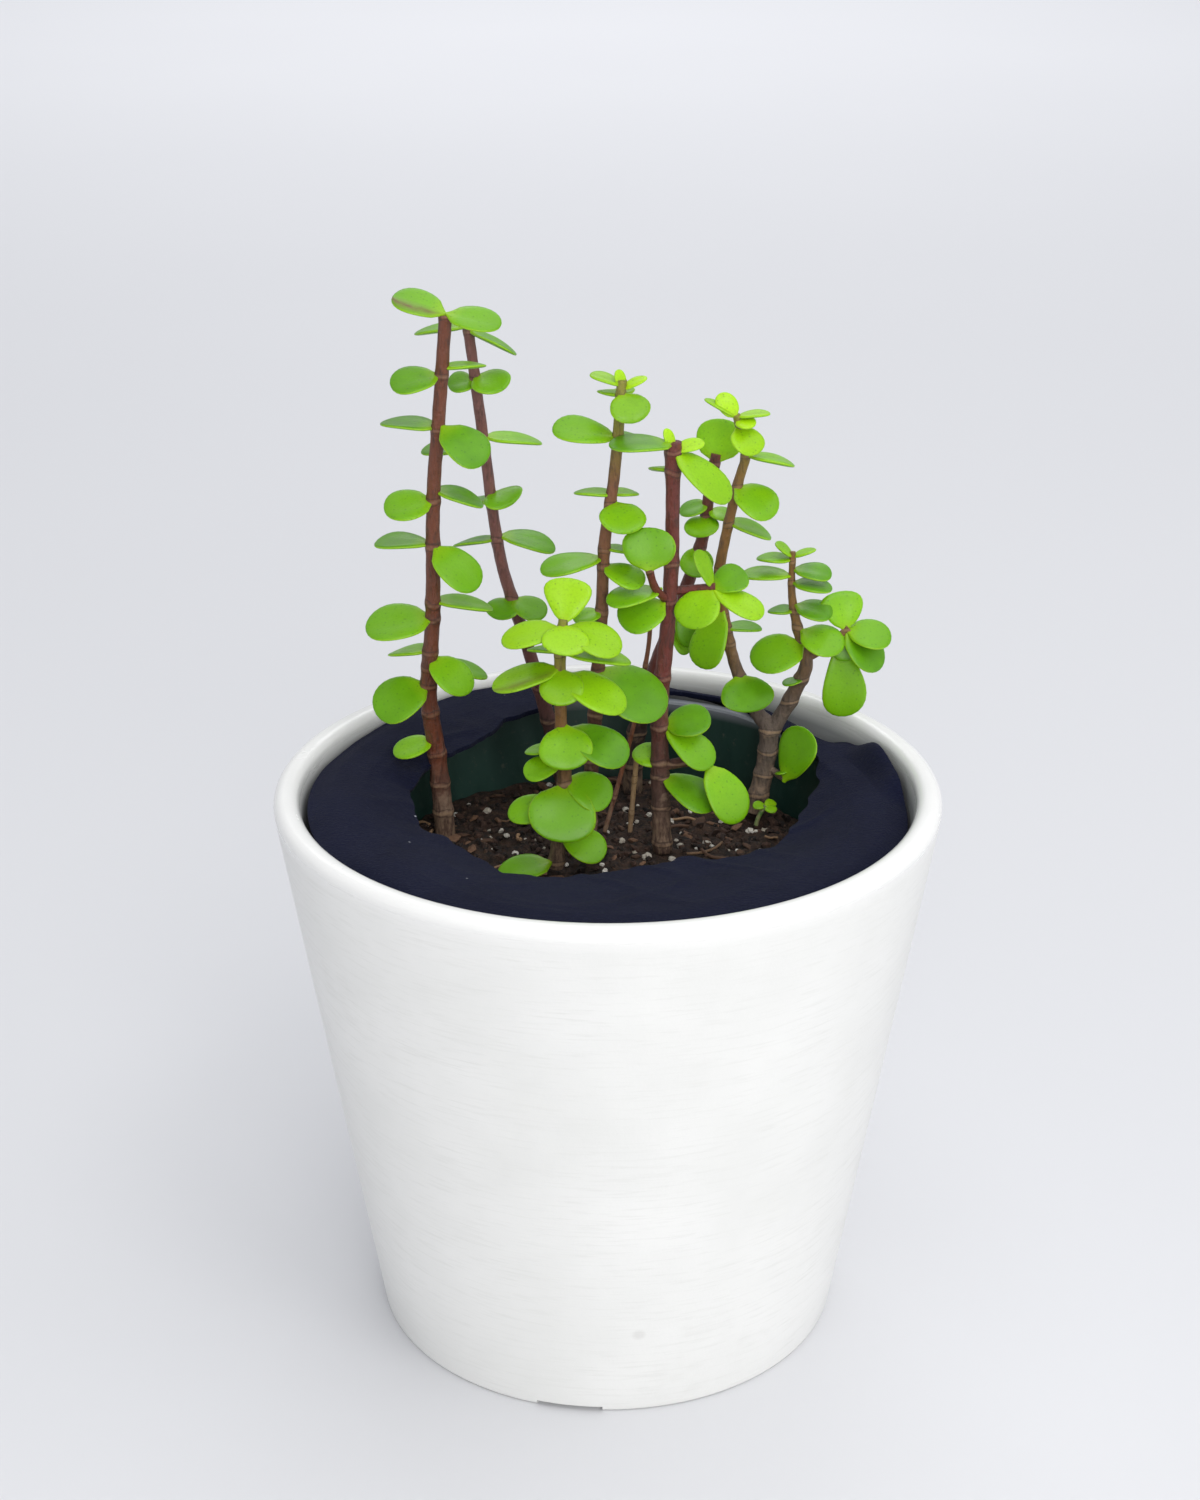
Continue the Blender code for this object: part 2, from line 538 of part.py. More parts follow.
def leafy_stem(parts, name, route, shoots, leaves, material):
    """One stem with its side shoots and leaves, fused into one closed body."""
    buried = (route[0][0], route[0][1], SOIL_TOP - HOLE_DEPTH, route[0][3])
    points = [Vector(buried)] + through(route)
    stem = tube(parts, name, points)
    group = new_collection(name + "_grown")
    for index, shoot in enumerate(shoots):
        tube(group, "%s_shoot_%d" % (name, index), through(shoot, 2))
    for index, leaf in enumerate(leaves):
        leaf_blade(group, "%s_leaf_%d" % (name, index), leaf)
    if group.objects:
        union = stem.modifiers.new("grown together", "BOOLEAN")
        union.operation = "UNION"
        union.operand_type = "COLLECTION"
        union.solver = "EXACT"
        union.collection = group
        bpy.context.view_layer.update()
        graph = bpy.context.evaluated_depsgraph_get()
        grown = bpy.data.meshes.new_from_object(stem.evaluated_get(graph))
        stem.modifiers.remove(union)
        stem.data = grown
    for item in list(group.objects):
        bpy.data.objects.remove(item, do_unlink=True)
    bpy.data.collections.remove(group)
    stem.data.materials.clear()
    stem.data.materials.append(material)
    smooth(stem, 50.0)
    return stem


def build_plants(parts):
    green = principled("leaf_green", (0.16, 0.30, 0.06), 0.35)
    leafy_stem(parts, "stem_a", STEM_A, (), LEAVES_A, green)
    leafy_stem(parts, "stem_b", STEM_B, (), LEAVES_B, green)
    leafy_stem(parts, "stem_c", STEM_C, (), LEAVES_C, green)
    leafy_stem(parts, "stem_d", STEM_D, SHOOTS_D, LEAVES_D, green)
    leafy_stem(parts, "stem_e", STEM_E, (), LEAVES_E, green)
    leafy_stem(parts, "stem_f", STEM_F, SHOOTS_F, LEAVES_F, green)
    leafy_stem(parts, "stem_g", STEM_G, (), LEAVES_G, green)
    red = principled("stalk_red", (0.20, 0.10, 0.06), 0.5)
    tan = principled("stalk_tan", (0.42, 0.28, 0.14), 0.7)
    leafy_stem(parts, "thin_shoot_red", THIN_SHOOT_RED, (), (), red)
    leafy_stem(parts, "thin_shoot_tan", THIN_SHOOT_TAN, (), (), tan)
    leafy_stem(parts, "weed_seedling", WEED_STALK, (), WEED_LEAVES, green)


def build():
    clear_scene()
    parts = new_collection("elephant_bush")
    cutters = new_collection("cutters")
    build_planter(parts, cutters)
    build_nursery_pot(parts, cutters)
    feet = {
        "stem_a": STEM_A[0], "stem_b": STEM_B[0], "stem_c": STEM_C[0], "stem_d": STEM_D[0],
        "stem_e": STEM_E[0], "stem_f": STEM_F[0], "stem_g": STEM_G[0],
        "thin_shoot_red": THIN_SHOOT_RED[0], "thin_shoot_tan": THIN_SHOOT_TAN[0],
        "weed_seedling": WEED_STALK[0],
    }
    build_soil(parts, cutters, feet)
    build_felt_cover(parts)
    build_plants(parts)


build()
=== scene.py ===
"""Looks of the potted elephant bush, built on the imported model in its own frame, in metres."""
import math
import random
import bmesh
import bpy
from mathutils import Matrix, Vector, noise


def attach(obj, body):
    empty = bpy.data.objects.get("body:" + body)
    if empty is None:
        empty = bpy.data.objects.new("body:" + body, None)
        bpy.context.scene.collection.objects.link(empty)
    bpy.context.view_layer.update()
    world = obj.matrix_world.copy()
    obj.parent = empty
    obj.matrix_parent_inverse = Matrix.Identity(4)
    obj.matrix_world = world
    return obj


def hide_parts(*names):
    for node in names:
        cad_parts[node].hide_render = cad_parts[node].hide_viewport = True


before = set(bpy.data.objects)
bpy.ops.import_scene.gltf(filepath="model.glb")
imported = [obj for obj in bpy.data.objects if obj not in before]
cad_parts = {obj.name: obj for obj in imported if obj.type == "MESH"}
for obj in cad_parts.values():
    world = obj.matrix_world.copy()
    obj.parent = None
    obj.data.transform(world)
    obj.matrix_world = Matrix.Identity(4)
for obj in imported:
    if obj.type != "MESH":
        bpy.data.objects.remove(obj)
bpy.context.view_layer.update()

# Studio: a pale grey sweep under the pot, a camera a little above the rim, and broad soft lights
# in front and overhead. None of it is part of the object.
MM = 0.001
CAMERA_PLACE = (0.0, -0.7005, 0.483)
CAMERA_TILT = 67.02
CAMERA_TURN = 0.191
CAMERA_LENS = 61.04
SWEEP_COLOUR = (0.70, 0.703, 0.722)
SWEEP_MOTTLE = (0.725, 0.728, 0.745)
AIR_COLOUR = (0.93, 0.95, 1.0, 1.0)
AIR_STRENGTH = 0.55

bpy.ops.object.camera_add(
    location=CAMERA_PLACE,
    rotation=(math.radians(CAMERA_TILT), 0.0, math.radians(CAMERA_TURN)))
camera = bpy.context.object
camera.data.lens = CAMERA_LENS
camera.data.sensor_width = 36.0
camera.data.clip_start = 0.02
bpy.context.scene.camera = camera
bpy.context.scene.view_settings.view_transform = "Standard"


def add_node(tree, kind, sockets=None, **settings):
    """Add a shader node; a socket is given a value or another node's output."""
    made = tree.nodes.new("ShaderNode" + kind)
    for key, value in settings.items():
        setattr(made, key, value)
    for key, value in (sockets or {}).items():
        if isinstance(value, bpy.types.NodeSocket):
            tree.links.new(value, made.inputs[key])
        else:
            made.inputs[key].default_value = value
    return made


def new_finish(name, roughness, **constants):
    finish = bpy.data.materials.new(name)
    finish.use_nodes = True
    shader = finish.node_tree.nodes["Principled BSDF"]
    shader.inputs["Roughness"].default_value = roughness
    for key, value in constants.items():
        shader.inputs[key.replace("_", " ")].default_value = value
    return finish, shader


def object_place(finish, scale=(1.0, 1.0, 1.0)):
    place = add_node(finish.node_tree, "TexCoord").outputs["Object"]
    return add_node(place.id_data, "Mapping", {"Vector": place, "Scale": scale}).outputs[0]


def noise_at(place, scale, detail=3.0, roughness=0.5):
    sockets = {"Vector": place, "Scale": scale, "Detail": detail, "Roughness": roughness}
    return add_node(place.id_data, "TexNoise", sockets).outputs[0]


def stepped(fac, low, high):
    """0 below low, 1 above high."""
    sockets = {0: fac, 1: low, 2: high, 3: 0.0, 4: 1.0}
    return add_node(fac.id_data, "MapRange", sockets, clamp=True).outputs[0]


def blended(fac, first, second):
    """First where fac is 0, second where it is 1; each is a colour or a socket."""
    def colour(value):
        return value if isinstance(value, bpy.types.NodeSocket) else (*value, 1.0)
    sockets = {0: fac, 6: colour(first), 7: colour(second)}
    return add_node(fac.id_data, "Mix", sockets, data_type="RGBA").outputs[2]


def sums(how, first, second):
    return add_node(first.id_data, "Math", {0: first, 1: second}, operation=how).outputs[0]


def times(first, second):
    return sums("MULTIPLY", first, second)


def tinted(base, colour, mask, strength):
    """Lay a colour over the base where the mask is 1, at this strength."""
    return blended(times(mask, strength), base, colour)


def join(output, shader, socket):
    shader.id_data.links.new(output, shader.inputs[socket])


def bumped(shader, height, strength, distance):
    sockets = {"Height": height, "Strength": strength, "Distance": distance}
    join(add_node(shader.id_data, "Bump", sockets).outputs[0], shader, "Normal")


bpy.ops.object.select_all(action="DESELECT")
bpy.ops.mesh.primitive_plane_add(size=14.0, location=(0.0, 3.0, 0.0))
sweep = bpy.context.object
sweep.name = "studio_sweep"
bpy.ops.object.transform_apply(location=True, rotation=True, scale=True)
sweep_finish, sweep_shader = new_finish("studio_sweep", 0.75)
sweep_mottle = noise_at(object_place(sweep_finish), 1.5, 2.0)
sweep_colour = blended(sweep_mottle, SWEEP_COLOUR, SWEEP_MOTTLE)
join(sweep_colour, sweep_shader, "Base Color")
sweep.data.materials.append(sweep_finish)


def soft_light(name, place, target, size, watts, colour):
    bpy.ops.object.light_add(type="AREA", location=place)
    light = bpy.context.object
    light.name = name
    light.data.shape = "DISK"
    light.data.size = size
    light.data.energy = watts
    light.data.color = colour
    aim = Vector(target) - Vector(place)
    light.rotation_euler = aim.to_track_quat("-Z", "Y").to_euler()


soft_light("overhead_softbox", (0.35, 0.1, 2.0), (0.0, 0.3, 0.1), 2.2, 13.5, (1.0, 1.0, 1.0))
soft_light("front_softbox", (0.3, -1.9, 0.9), (0.0, 0.0, 0.12), 1.3, 17.3, (1.0, 0.995, 0.98))
soft_light("key_softbox", (0.5, -0.8, 1.5), (0.0, 0.0, 0.2), 0.5, 3.4, (1.0, 0.99, 0.97))
soft_light("right_softbox", (1.5, -0.7, 0.8), (0.0, 0.0, 0.15), 1.2, 3.0, (1.0, 1.0, 1.0))
soft_light("back_wash", (0.0, 3.4, 2.6), (0.0, 4.2, 0.0), 3.0, 60.0, (0.98, 0.985, 1.0))
studio_air = bpy.data.worlds.new("studio_air")
studio_air.use_nodes = True
air_light = studio_air.node_tree.nodes["Background"]
air_light.inputs["Color"].default_value = AIR_COLOUR
air_light.inputs["Strength"].default_value = AIR_STRENGTH
bpy.context.scene.world = studio_air

# Planter: a slip-cast cup in bisque-white stoneware, matte and faintly brushed outside, with a
# thick rounded rim and a foot ring. It is turned as rings about its axis; the notches are cut.
PLANTER_HEIGHT = 176.0
PLANTER_RIM = 100.0
PLANTER_BASE = 72.0
PLANTER_WALL = 7.7
PLANTER_FLOOR = 9.0
RIM_ROUNDING = 3.2
FLOOR_ROUNDING = 5.0
FOOT_ROUNDING = 1.5
FOOT_INNER = 60.0
FOOT_RECESS = 2.5
DRAIN_RADIUS = 9.0
NOTCH_SIZE = (26.0, 20.0, 3.6)
NOTCH_DISTANCE = 66.0
NOTCH_AZIMUTHS = (-99.0, 21.0, 141.0)
PLANTER_STEPS = 144
# Iron specks that came out in the firing: azimuth, height, radius and strength. The wide, faint one
# is a scuff near the foot.
SPECKS = (
    (-99.0, 171.0, 0.55, 0.85), (-97.5, 148.0, 0.5, 0.85), (-83.0, 31.0, 2.4, 0.12),
    (-20.5, 79.0, 0.45, 0.85),
)
BISQUE_SHADE = (0.80, 0.80, 0.775)
BISQUE_LIGHT = (0.865, 0.862, 0.84)
BISQUE_STREAK = (0.785, 0.784, 0.757)
BISQUE_SMUDGE = (0.66, 0.65, 0.62)
BISQUE_SPECK = (0.20, 0.17, 0.14)
BISQUE_INSIDE_SHADE = (0.27, 0.275, 0.28)
BISQUE_RIM_HIGHLIGHT = (0.90, 0.895, 0.875)
planter_slope = (PLANTER_RIM - PLANTER_BASE) / PLANTER_HEIGHT
planter_lean = math.degrees(math.atan(planter_slope))


def selected_only(item):
    bpy.ops.object.select_all(action="DESELECT")
    item.select_set(True)
    bpy.context.view_layer.objects.active = item


def smoothed(item, degrees):
    selected_only(item)
    bpy.ops.object.shade_smooth_by_angle(angle=math.radians(degrees))


def cut_away(item, cutter):
    """Cut the cutter's shape out of the item, and remove the cutter."""
    selected_only(item)
    cut = item.modifiers.new("cut", "BOOLEAN")
    cut.operation = "DIFFERENCE"
    cut.solver = "EXACT"
    cut.object = cutter
    bpy.ops.object.modifier_apply(modifier=cut.name)
    bpy.data.objects.remove(cutter, do_unlink=True)


def turned(name, rings, steps):
    """Turn a closed outline of (radius, height) in mm: a circle extruded and resized ring by ring."""
    bpy.ops.object.select_all(action="DESELECT")
    radius, height = rings[0]
    bpy.ops.mesh.primitive_circle_add(vertices=steps, radius=radius * MM, location=(0, 0, height * MM))
    item = bpy.context.object
    item.name = name
    bpy.ops.object.transform_apply(location=True, rotation=True, scale=True)
    bpy.ops.object.mode_set(mode="EDIT")
    bpy.ops.mesh.select_all(action="SELECT")
    for wider, higher in rings[1:] + rings[:1]:
        rise = {"value": (0.0, 0.0, (higher - height) * MM)}
        bpy.ops.mesh.extrude_region_move(TRANSFORM_OT_translate=rise)
        grow = wider / radius
        bpy.ops.transform.resize(value=(grow, grow, 1.0), center_override=(0.0, 0.0, higher * MM))
        radius, height = wider, higher
    bpy.ops.mesh.select_all(action="SELECT")
    bpy.ops.mesh.remove_doubles(threshold=0.000005)
    bpy.ops.mesh.normals_make_consistent(inside=False)
    bpy.ops.object.mode_set(mode="OBJECT")
    return item


def bend(centre, radius, start, end, count):
    """Points on a bend in the (radius, height) plane, angles in degrees."""
    places = []
    for i in range(count + 1):
        angle = math.radians(start + (end - start) * i / count)
        places.append((centre[0] + radius * math.cos(angle), centre[1] + radius * math.sin(angle)))
    return places


def between(first, last, count):
    """Evenly spaced points from first to last, both left out."""
    return [(first[0] + (last[0] - first[0]) * i / (count + 1),
             first[1] + (last[1] - first[1]) * i / (count + 1)) for i in range(1, count + 1)]


rim_crown = PLANTER_HEIGHT - RIM_ROUNDING
inner_bend = bend((PLANTER_RIM - PLANTER_WALL + RIM_ROUNDING, rim_crown), RIM_ROUNDING,
                  180.0 - planter_lean, 90.0, 7)
outer_bend = bend((PLANTER_RIM - RIM_ROUNDING, rim_crown), RIM_ROUNDING, 90.0, -planter_lean, 8)
foot_bend = bend((PLANTER_BASE - 1.0, FOOT_ROUNDING), FOOT_ROUNDING, -planter_lean, -90.0, 5)
floor_edge = PLANTER_BASE + planter_slope * PLANTER_FLOOR - PLANTER_WALL - FLOOR_ROUNDING
planter_rings = [(DRAIN_RADIUS, PLANTER_FLOOR), (floor_edge, PLANTER_FLOOR)]
planter_rings += bend((floor_edge, PLANTER_FLOOR + FLOOR_ROUNDING), FLOOR_ROUNDING, -75.0, -10.0, 4)
planter_rings += between(planter_rings[-1], inner_bend[0], 8)
planter_rings += inner_bend + outer_bend
planter_rings += between(outer_bend[-1], foot_bend[0], 12)
planter_rings += foot_bend
planter_rings += [(FOOT_INNER, 0.0), (FOOT_INNER - 1.5, FOOT_RECESS), (DRAIN_RADIUS, FOOT_RECESS)]
planter = turned("planter_cup", planter_rings, PLANTER_STEPS)
for azimuth in NOTCH_AZIMUTHS:
    bpy.ops.object.select_all(action="DESELECT")
    bpy.ops.mesh.primitive_cube_add(size=1.0)
    notch = bpy.context.object
    notch.data.transform(
        Matrix.Rotation(math.radians(azimuth), 4, "Z")
        @ Matrix.Translation((NOTCH_DISTANCE * MM, 0.0, 0.0))
        @ Matrix.Diagonal((NOTCH_SIZE[0] * MM, NOTCH_SIZE[1] * MM, NOTCH_SIZE[2] * MM, 1.0)))
    cut_away(planter, notch)
smoothed(planter, 35.0)


def vector_math(how, sockets):
    return add_node(sockets[0].id_data, "VectorMath", sockets, operation=how)


def height_at(place):
    return add_node(place.id_data, "SeparateXYZ", {0: place}).outputs[2]


bisque, bisque_shader = new_finish("bisque_white", 0.5)
bisque_place = object_place(bisque)
cloudy = noise_at(bisque_place, 22.0, 4.0, 0.55)
streak_place = object_place(bisque, (1.0, 1.0, 14.0))
brushed = noise_at(streak_place, 75.0, 3.0, 0.6)
fine_grain = noise_at(bisque_place, 900.0, 2.0, 0.6)
bisque_colour = blended(stepped(cloudy, 0.3, 0.72), BISQUE_SHADE, BISQUE_LIGHT)
bisque_colour = blended(stepped(brushed, 0.52, 0.75), bisque_colour, BISQUE_STREAK)
smudge = noise_at(object_place(bisque, (1.0, 1.0, 1.6)), 9.0, 5.0, 0.7)
bisque_colour = tinted(bisque_colour, BISQUE_SMUDGE, stepped(smudge, 0.62, 0.80), 0.5)
for azimuth, height, size, strength in SPECKS:
    reach = PLANTER_BASE + planter_slope * height
    turn = math.radians(azimuth)
    spot = {0: bisque_place, 1: (reach * math.cos(turn) * MM, reach * math.sin(turn) * MM, height * MM)}
    distance = vector_math("DISTANCE", spot).outputs["Value"]
    speck = stepped(distance, size * MM, 0.5 * size * MM)
    bisque_colour = tinted(bisque_colour, BISQUE_SPECK, speck, strength)
# Painted shade: the wall inside is painted a dark grey, for the shadow that falls in the pot.
# The rim was wiped smooth and is glossier.
level_only = {0: bisque_place, 1: (1.0, 1.0, 0.0)}
level_place = vector_math("MULTIPLY", level_only).outputs[0]
from_axis = vector_math("LENGTH", {0: level_place}).outputs["Value"]
wall_height = height_at(bisque_place)
from_slope = sums("SUBTRACT", from_axis, times(wall_height, planter_slope))
inside = stepped(from_slope, (PLANTER_BASE - 3.0) * MM, (PLANTER_BASE - 6.5) * MM)
bisque_colour = blended(inside, bisque_colour, BISQUE_INSIDE_SHADE)
on_rim = stepped(wall_height, (PLANTER_HEIGHT - 7.5) * MM, (PLANTER_HEIGHT - 2.5) * MM)
# Painted highlight: the rim is painted lighter, for the light on its top.
bisque_colour = tinted(bisque_colour, BISQUE_RIM_HIGHLIGHT, on_rim, 0.8)
join(bisque_colour, bisque_shader, "Base Color")
bisque_gloss = sums("SUBTRACT", stepped(brushed, -0.9, 2.4), times(on_rim, 0.2))
join(bisque_gloss, bisque_shader, "Roughness")
relief = sums("ADD", times(brushed, 0.7), times(fine_grain, 0.3))
bumped(bisque_shader, relief, 0.17, 0.0006)
planter.data.materials.append(bisque)
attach(planter, "root")
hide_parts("planter")

# Nursery pot: the thin dark green plastic pot that the plant was sold in. Blow-moulded, with a
# flat lip and holes in its floor; its inner wall shows above the soil at the back.
NURSERY_TOP = 172.0
NURSERY_LIP = 80.5
NURSERY_LIP_DEPTH = 9.0
NURSERY_TOP_RADIUS = 78.0
NURSERY_BASE_RADIUS = 55.0
NURSERY_WALL = 1.6
NURSERY_STEPS = 120
HOLE_COUNT = 6
HOLE_RADIUS = 4.0
HOLE_DISTANCE = 36.0
SINKING_FROM = 120.0
# How far the rim has sunk, every 30 degrees from -180
RIM_DROP = (1.5, 3.5, 5.0, 5.5, 5.5, 5.5, 5.5, 5.5, 0.5, 0.0, 0.0, 0.5)
PLASTIC_SHADE = (0.006, 0.028, 0.022)
PLASTIC_LIGHT = (0.016, 0.055, 0.042)
PLASTIC_DUST = (0.16, 0.14, 0.11)
PLASTIC_LIP_SHEEN = (0.20, 0.21, 0.24)
nursery_foot = PLANTER_FLOOR + 0.3


def nursery_radius(height):
    """Outer radius of the nursery pot's wall at a height above the table, in mm."""
    share = (height - nursery_foot) / (NURSERY_TOP - nursery_foot)
    return NURSERY_BASE_RADIUS + (NURSERY_TOP_RADIUS - NURSERY_BASE_RADIUS) * share


lip_foot = NURSERY_TOP - NURSERY_LIP_DEPTH
nursery_floor = nursery_foot + NURSERY_WALL
inner_wall = [(nursery_radius(nursery_floor) - NURSERY_WALL, nursery_floor),
              (NURSERY_TOP_RADIUS - NURSERY_WALL - 0.1, NURSERY_TOP - 0.6)]
outer_wall = [(nursery_radius(lip_foot), lip_foot), (nursery_radius(nursery_foot), nursery_foot)]
nursery_rings = [(2.0, nursery_floor), inner_wall[0]] + between(inner_wall[0], inner_wall[1], 24)
nursery_rings += [inner_wall[1], (NURSERY_TOP_RADIUS - NURSERY_WALL + 0.6, NURSERY_TOP)]
nursery_rings += [(NURSERY_LIP - 0.8, NURSERY_TOP), (NURSERY_LIP, NURSERY_TOP - 0.8)]
nursery_rings += [(NURSERY_LIP, lip_foot + 0.3), (NURSERY_LIP - 0.4, lip_foot)] + [outer_wall[0]]
nursery_rings += between(outer_wall[0], outer_wall[1], 6) + [outer_wall[1], (2.0, nursery_foot)]
nursery = turned("nursery_pot_shell", nursery_rings, NURSERY_STEPS)


def eased(share):
    """A share of 0 to 1 that starts and ends gently."""
    return share * share * (3.0 - 2.0 * share)


def rows_beside(azimuth, table):
    """The rows before and after an azimuth, in a table that goes round from -180 degrees in even
    steps, and the eased share of the way between them."""
    place = ((azimuth + 180.0) % 360.0) / (360.0 / len(table))
    row = int(place) % len(table)
    return table[row], table[(row + 1) % len(table)], eased(place - int(place))


def rim_drop(azimuth):
    """How far the soft rim has sunk in mm: it stands high at the back and low at the front."""
    before, after, share = rows_beside(azimuth, RIM_DROP)
    return before + (after - before) * share


for vertex in nursery.data.vertices:
    share = (vertex.co.z / MM - SINKING_FROM) / (NURSERY_TOP - NURSERY_LIP_DEPTH - SINKING_FROM)
    azimuth = math.degrees(math.atan2(vertex.co.y, vertex.co.x))
    vertex.co.z -= rim_drop(azimuth) * min(1.0, max(0.0, share)) * MM
for index in range(HOLE_COUNT):
    angle = math.tau * index / HOLE_COUNT
    right, back = HOLE_DISTANCE * math.cos(angle), HOLE_DISTANCE * math.sin(angle)
    bpy.ops.object.select_all(action="DESELECT")
    bpy.ops.mesh.primitive_cylinder_add(vertices=24, radius=HOLE_RADIUS * MM, depth=8.0 * MM,
                                        location=(right * MM, back * MM, nursery_floor * MM))
    cut_away(nursery, bpy.context.object)
smoothed(nursery, 35.0)

green_plastic, plastic_shader = new_finish("dark_green_plastic", 0.3, Specular_IOR_Level=0.6)
plastic_place = object_place(green_plastic, (1.0, 1.0, 0.35))
plastic_cloud = noise_at(plastic_place, 45.0, 5.0, 0.65)
dust = noise_at(object_place(green_plastic), 420.0, 4.0, 0.7)
plastic_colour = blended(stepped(plastic_cloud, 0.35, 0.7), PLASTIC_SHADE, PLASTIC_LIGHT)
dusty = stepped(dust, 0.6, 0.75)
plastic_colour = tinted(plastic_colour, PLASTIC_DUST, dusty, 0.35)
# Painted sheen: the lip is painted a light grey, for the bright reflection on its shiny top
lip_height = height_at(object_place(green_plastic))
on_lip = stepped(lip_height, (NURSERY_TOP - 4.0) * MM, (NURSERY_TOP - 1.5) * MM)
plastic_colour = tinted(plastic_colour, PLASTIC_LIP_SHEEN, on_lip, 0.8)
join(plastic_colour, plastic_shader, "Base Color")
join(stepped(plastic_cloud, -0.5, 1.9), plastic_shader, "Roughness")
bumped(plastic_shader, plastic_cloud, 0.35, 0.0012)
nursery.data.materials.append(green_plastic)
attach(nursery, "root")
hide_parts("nursery_pot")

# Potting mix: dark peat and fine bark, packed in the nursery pot and loose on top, where crumbs,
# white perlite, bark chips and dry twigs lie in it.
SOIL_TOP = 145.0
SOIL_RADIUS = 72.2
SOIL_RINGS = 56
SOIL_STEPS = 200
SOIL_FOOT = 11.5
STEM_FEET = ((-51, 26), (-14, 61), (-6, 9), (17, 14), (8, 60), (47, 44), (-16, 3))
PEAT_DARK = (0.007, 0.004, 0.003)
PEAT_LIGHT = (0.060, 0.030, 0.018)
PEAT_GRIT = (0.15, 0.09, 0.05)
TWIG_COUNT = 34
TWIG_SPREAD = 66.0
TWIG_LENGTHS = (4.0, 15.0)
TWIG_RADII = (0.25, 0.6)


def soil_height(x, y):
    """Height of the soil in mm: slow waves, then clods, then crumbs."""
    wave = math.sin(x * 0.11 + 0.6) + math.sin(y * 0.13 - 0.4) + math.sin((x + y) * 0.19)
    clods = noise.noise(Vector((x * 0.16, y * 0.16, 3.0)))
    crumbs = noise.noise(Vector((x * 0.55, y * 0.55, 7.0)))
    fine = noise.noise(Vector((x * 1.3, y * 1.3, 1.0)))
    return SOIL_TOP + 0.4 * wave + 1.7 * clods + 0.9 * crumbs + 0.35 * fine


soil_rings = [(0.3 + (SOIL_RADIUS - 0.3) * i / SOIL_RINGS, SOIL_TOP) for i in range(SOIL_RINGS + 1)]
soil_rings += [(nursery_radius(12.0) - NURSERY_WALL - 0.5, SOIL_FOOT), (0.3, SOIL_FOOT)]
soil = turned("soil_bed", soil_rings, SOIL_STEPS)
top_edge = (SOIL_TOP - 2.0) * MM
for vertex in soil.data.vertices:
    if vertex.co.z > top_edge:
        vertex.co.z = soil_height(vertex.co.x / MM, vertex.co.y / MM) * MM
selected_only(soil)
bpy.ops.object.mode_set(mode="EDIT")
bpy.ops.mesh.select_all(action="SELECT")
bpy.ops.mesh.remove_doubles(threshold=0.000002)
bpy.ops.object.mode_set(mode="OBJECT")
sealing = bmesh.new()
sealing.from_mesh(soil.data)
for low in (True, False):
    core = [v for v in sealing.verts
            if math.hypot(v.co.x, v.co.y) < 0.4 * MM and (v.co.z < top_edge) == low]
    middle = sum((v.co.z for v in core)) / len(core)
    bmesh.ops.pointmerge(sealing, verts=core, merge_co=(0.0, 0.0, middle))
bmesh.ops.dissolve_degenerate(sealing, edges=sealing.edges, dist=0.0000005)
sealing.to_mesh(soil.data)
sealing.free()
smoothed(soil, 60.0)

peat, peat_shader = new_finish("peat", 0.9)
peat_place = object_place(peat)
peat_clods = noise_at(peat_place, 260.0, 5.0, 0.65)
peat_grit = noise_at(peat_place, 900.0, 3.0, 0.7)
peat_colour = blended(stepped(peat_clods, 0.36, 0.66), PEAT_DARK, PEAT_LIGHT)
peat_colour = tinted(peat_colour, PEAT_GRIT, stepped(peat_grit, 0.6, 0.72), 0.7)
join(peat_colour, peat_shader, "Base Color")
bumped(peat_shader, sums("ADD", peat_clods, times(peat_grit, 0.5)), 0.9, 0.002)
soil.data.materials.append(peat)
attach(soil, "root")
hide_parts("soil")

soil_dice = random.Random(41)


def clear_of_stems(x, y, room):
    return all(math.hypot(x - sx, y - sy) > room for sx, sy in STEM_FEET)


def linked(name, whole):
    """An object made of a bmesh, at the origin."""
    mesh = bpy.data.meshes.new(name)
    whole.to_mesh(mesh)
    whole.free()
    piece = bpy.data.objects.new(name, mesh)
    bpy.context.scene.collection.objects.link(piece)
    return piece


def rough_lump(dice, size, sides, uneven):
    """One master lump: an icosphere squeezed and dented by chance, size 1 mm across times size."""
    bpy.ops.object.select_all(action="DESELECT")
    bpy.ops.mesh.primitive_ico_sphere_add(subdivisions=sides, radius=0.5 * MM)
    lump = bpy.context.object
    squeeze = Matrix.Diagonal([s * dice.uniform(0.8, 1.2) for s in size])
    for vertex in lump.data.vertices:
        push = 1.0 + uneven * noise.noise(vertex.co / MM * 2.2 + Vector((dice.uniform(0, 9), 0, 0)))
        vertex.co = squeeze @ vertex.co * push
    return lump


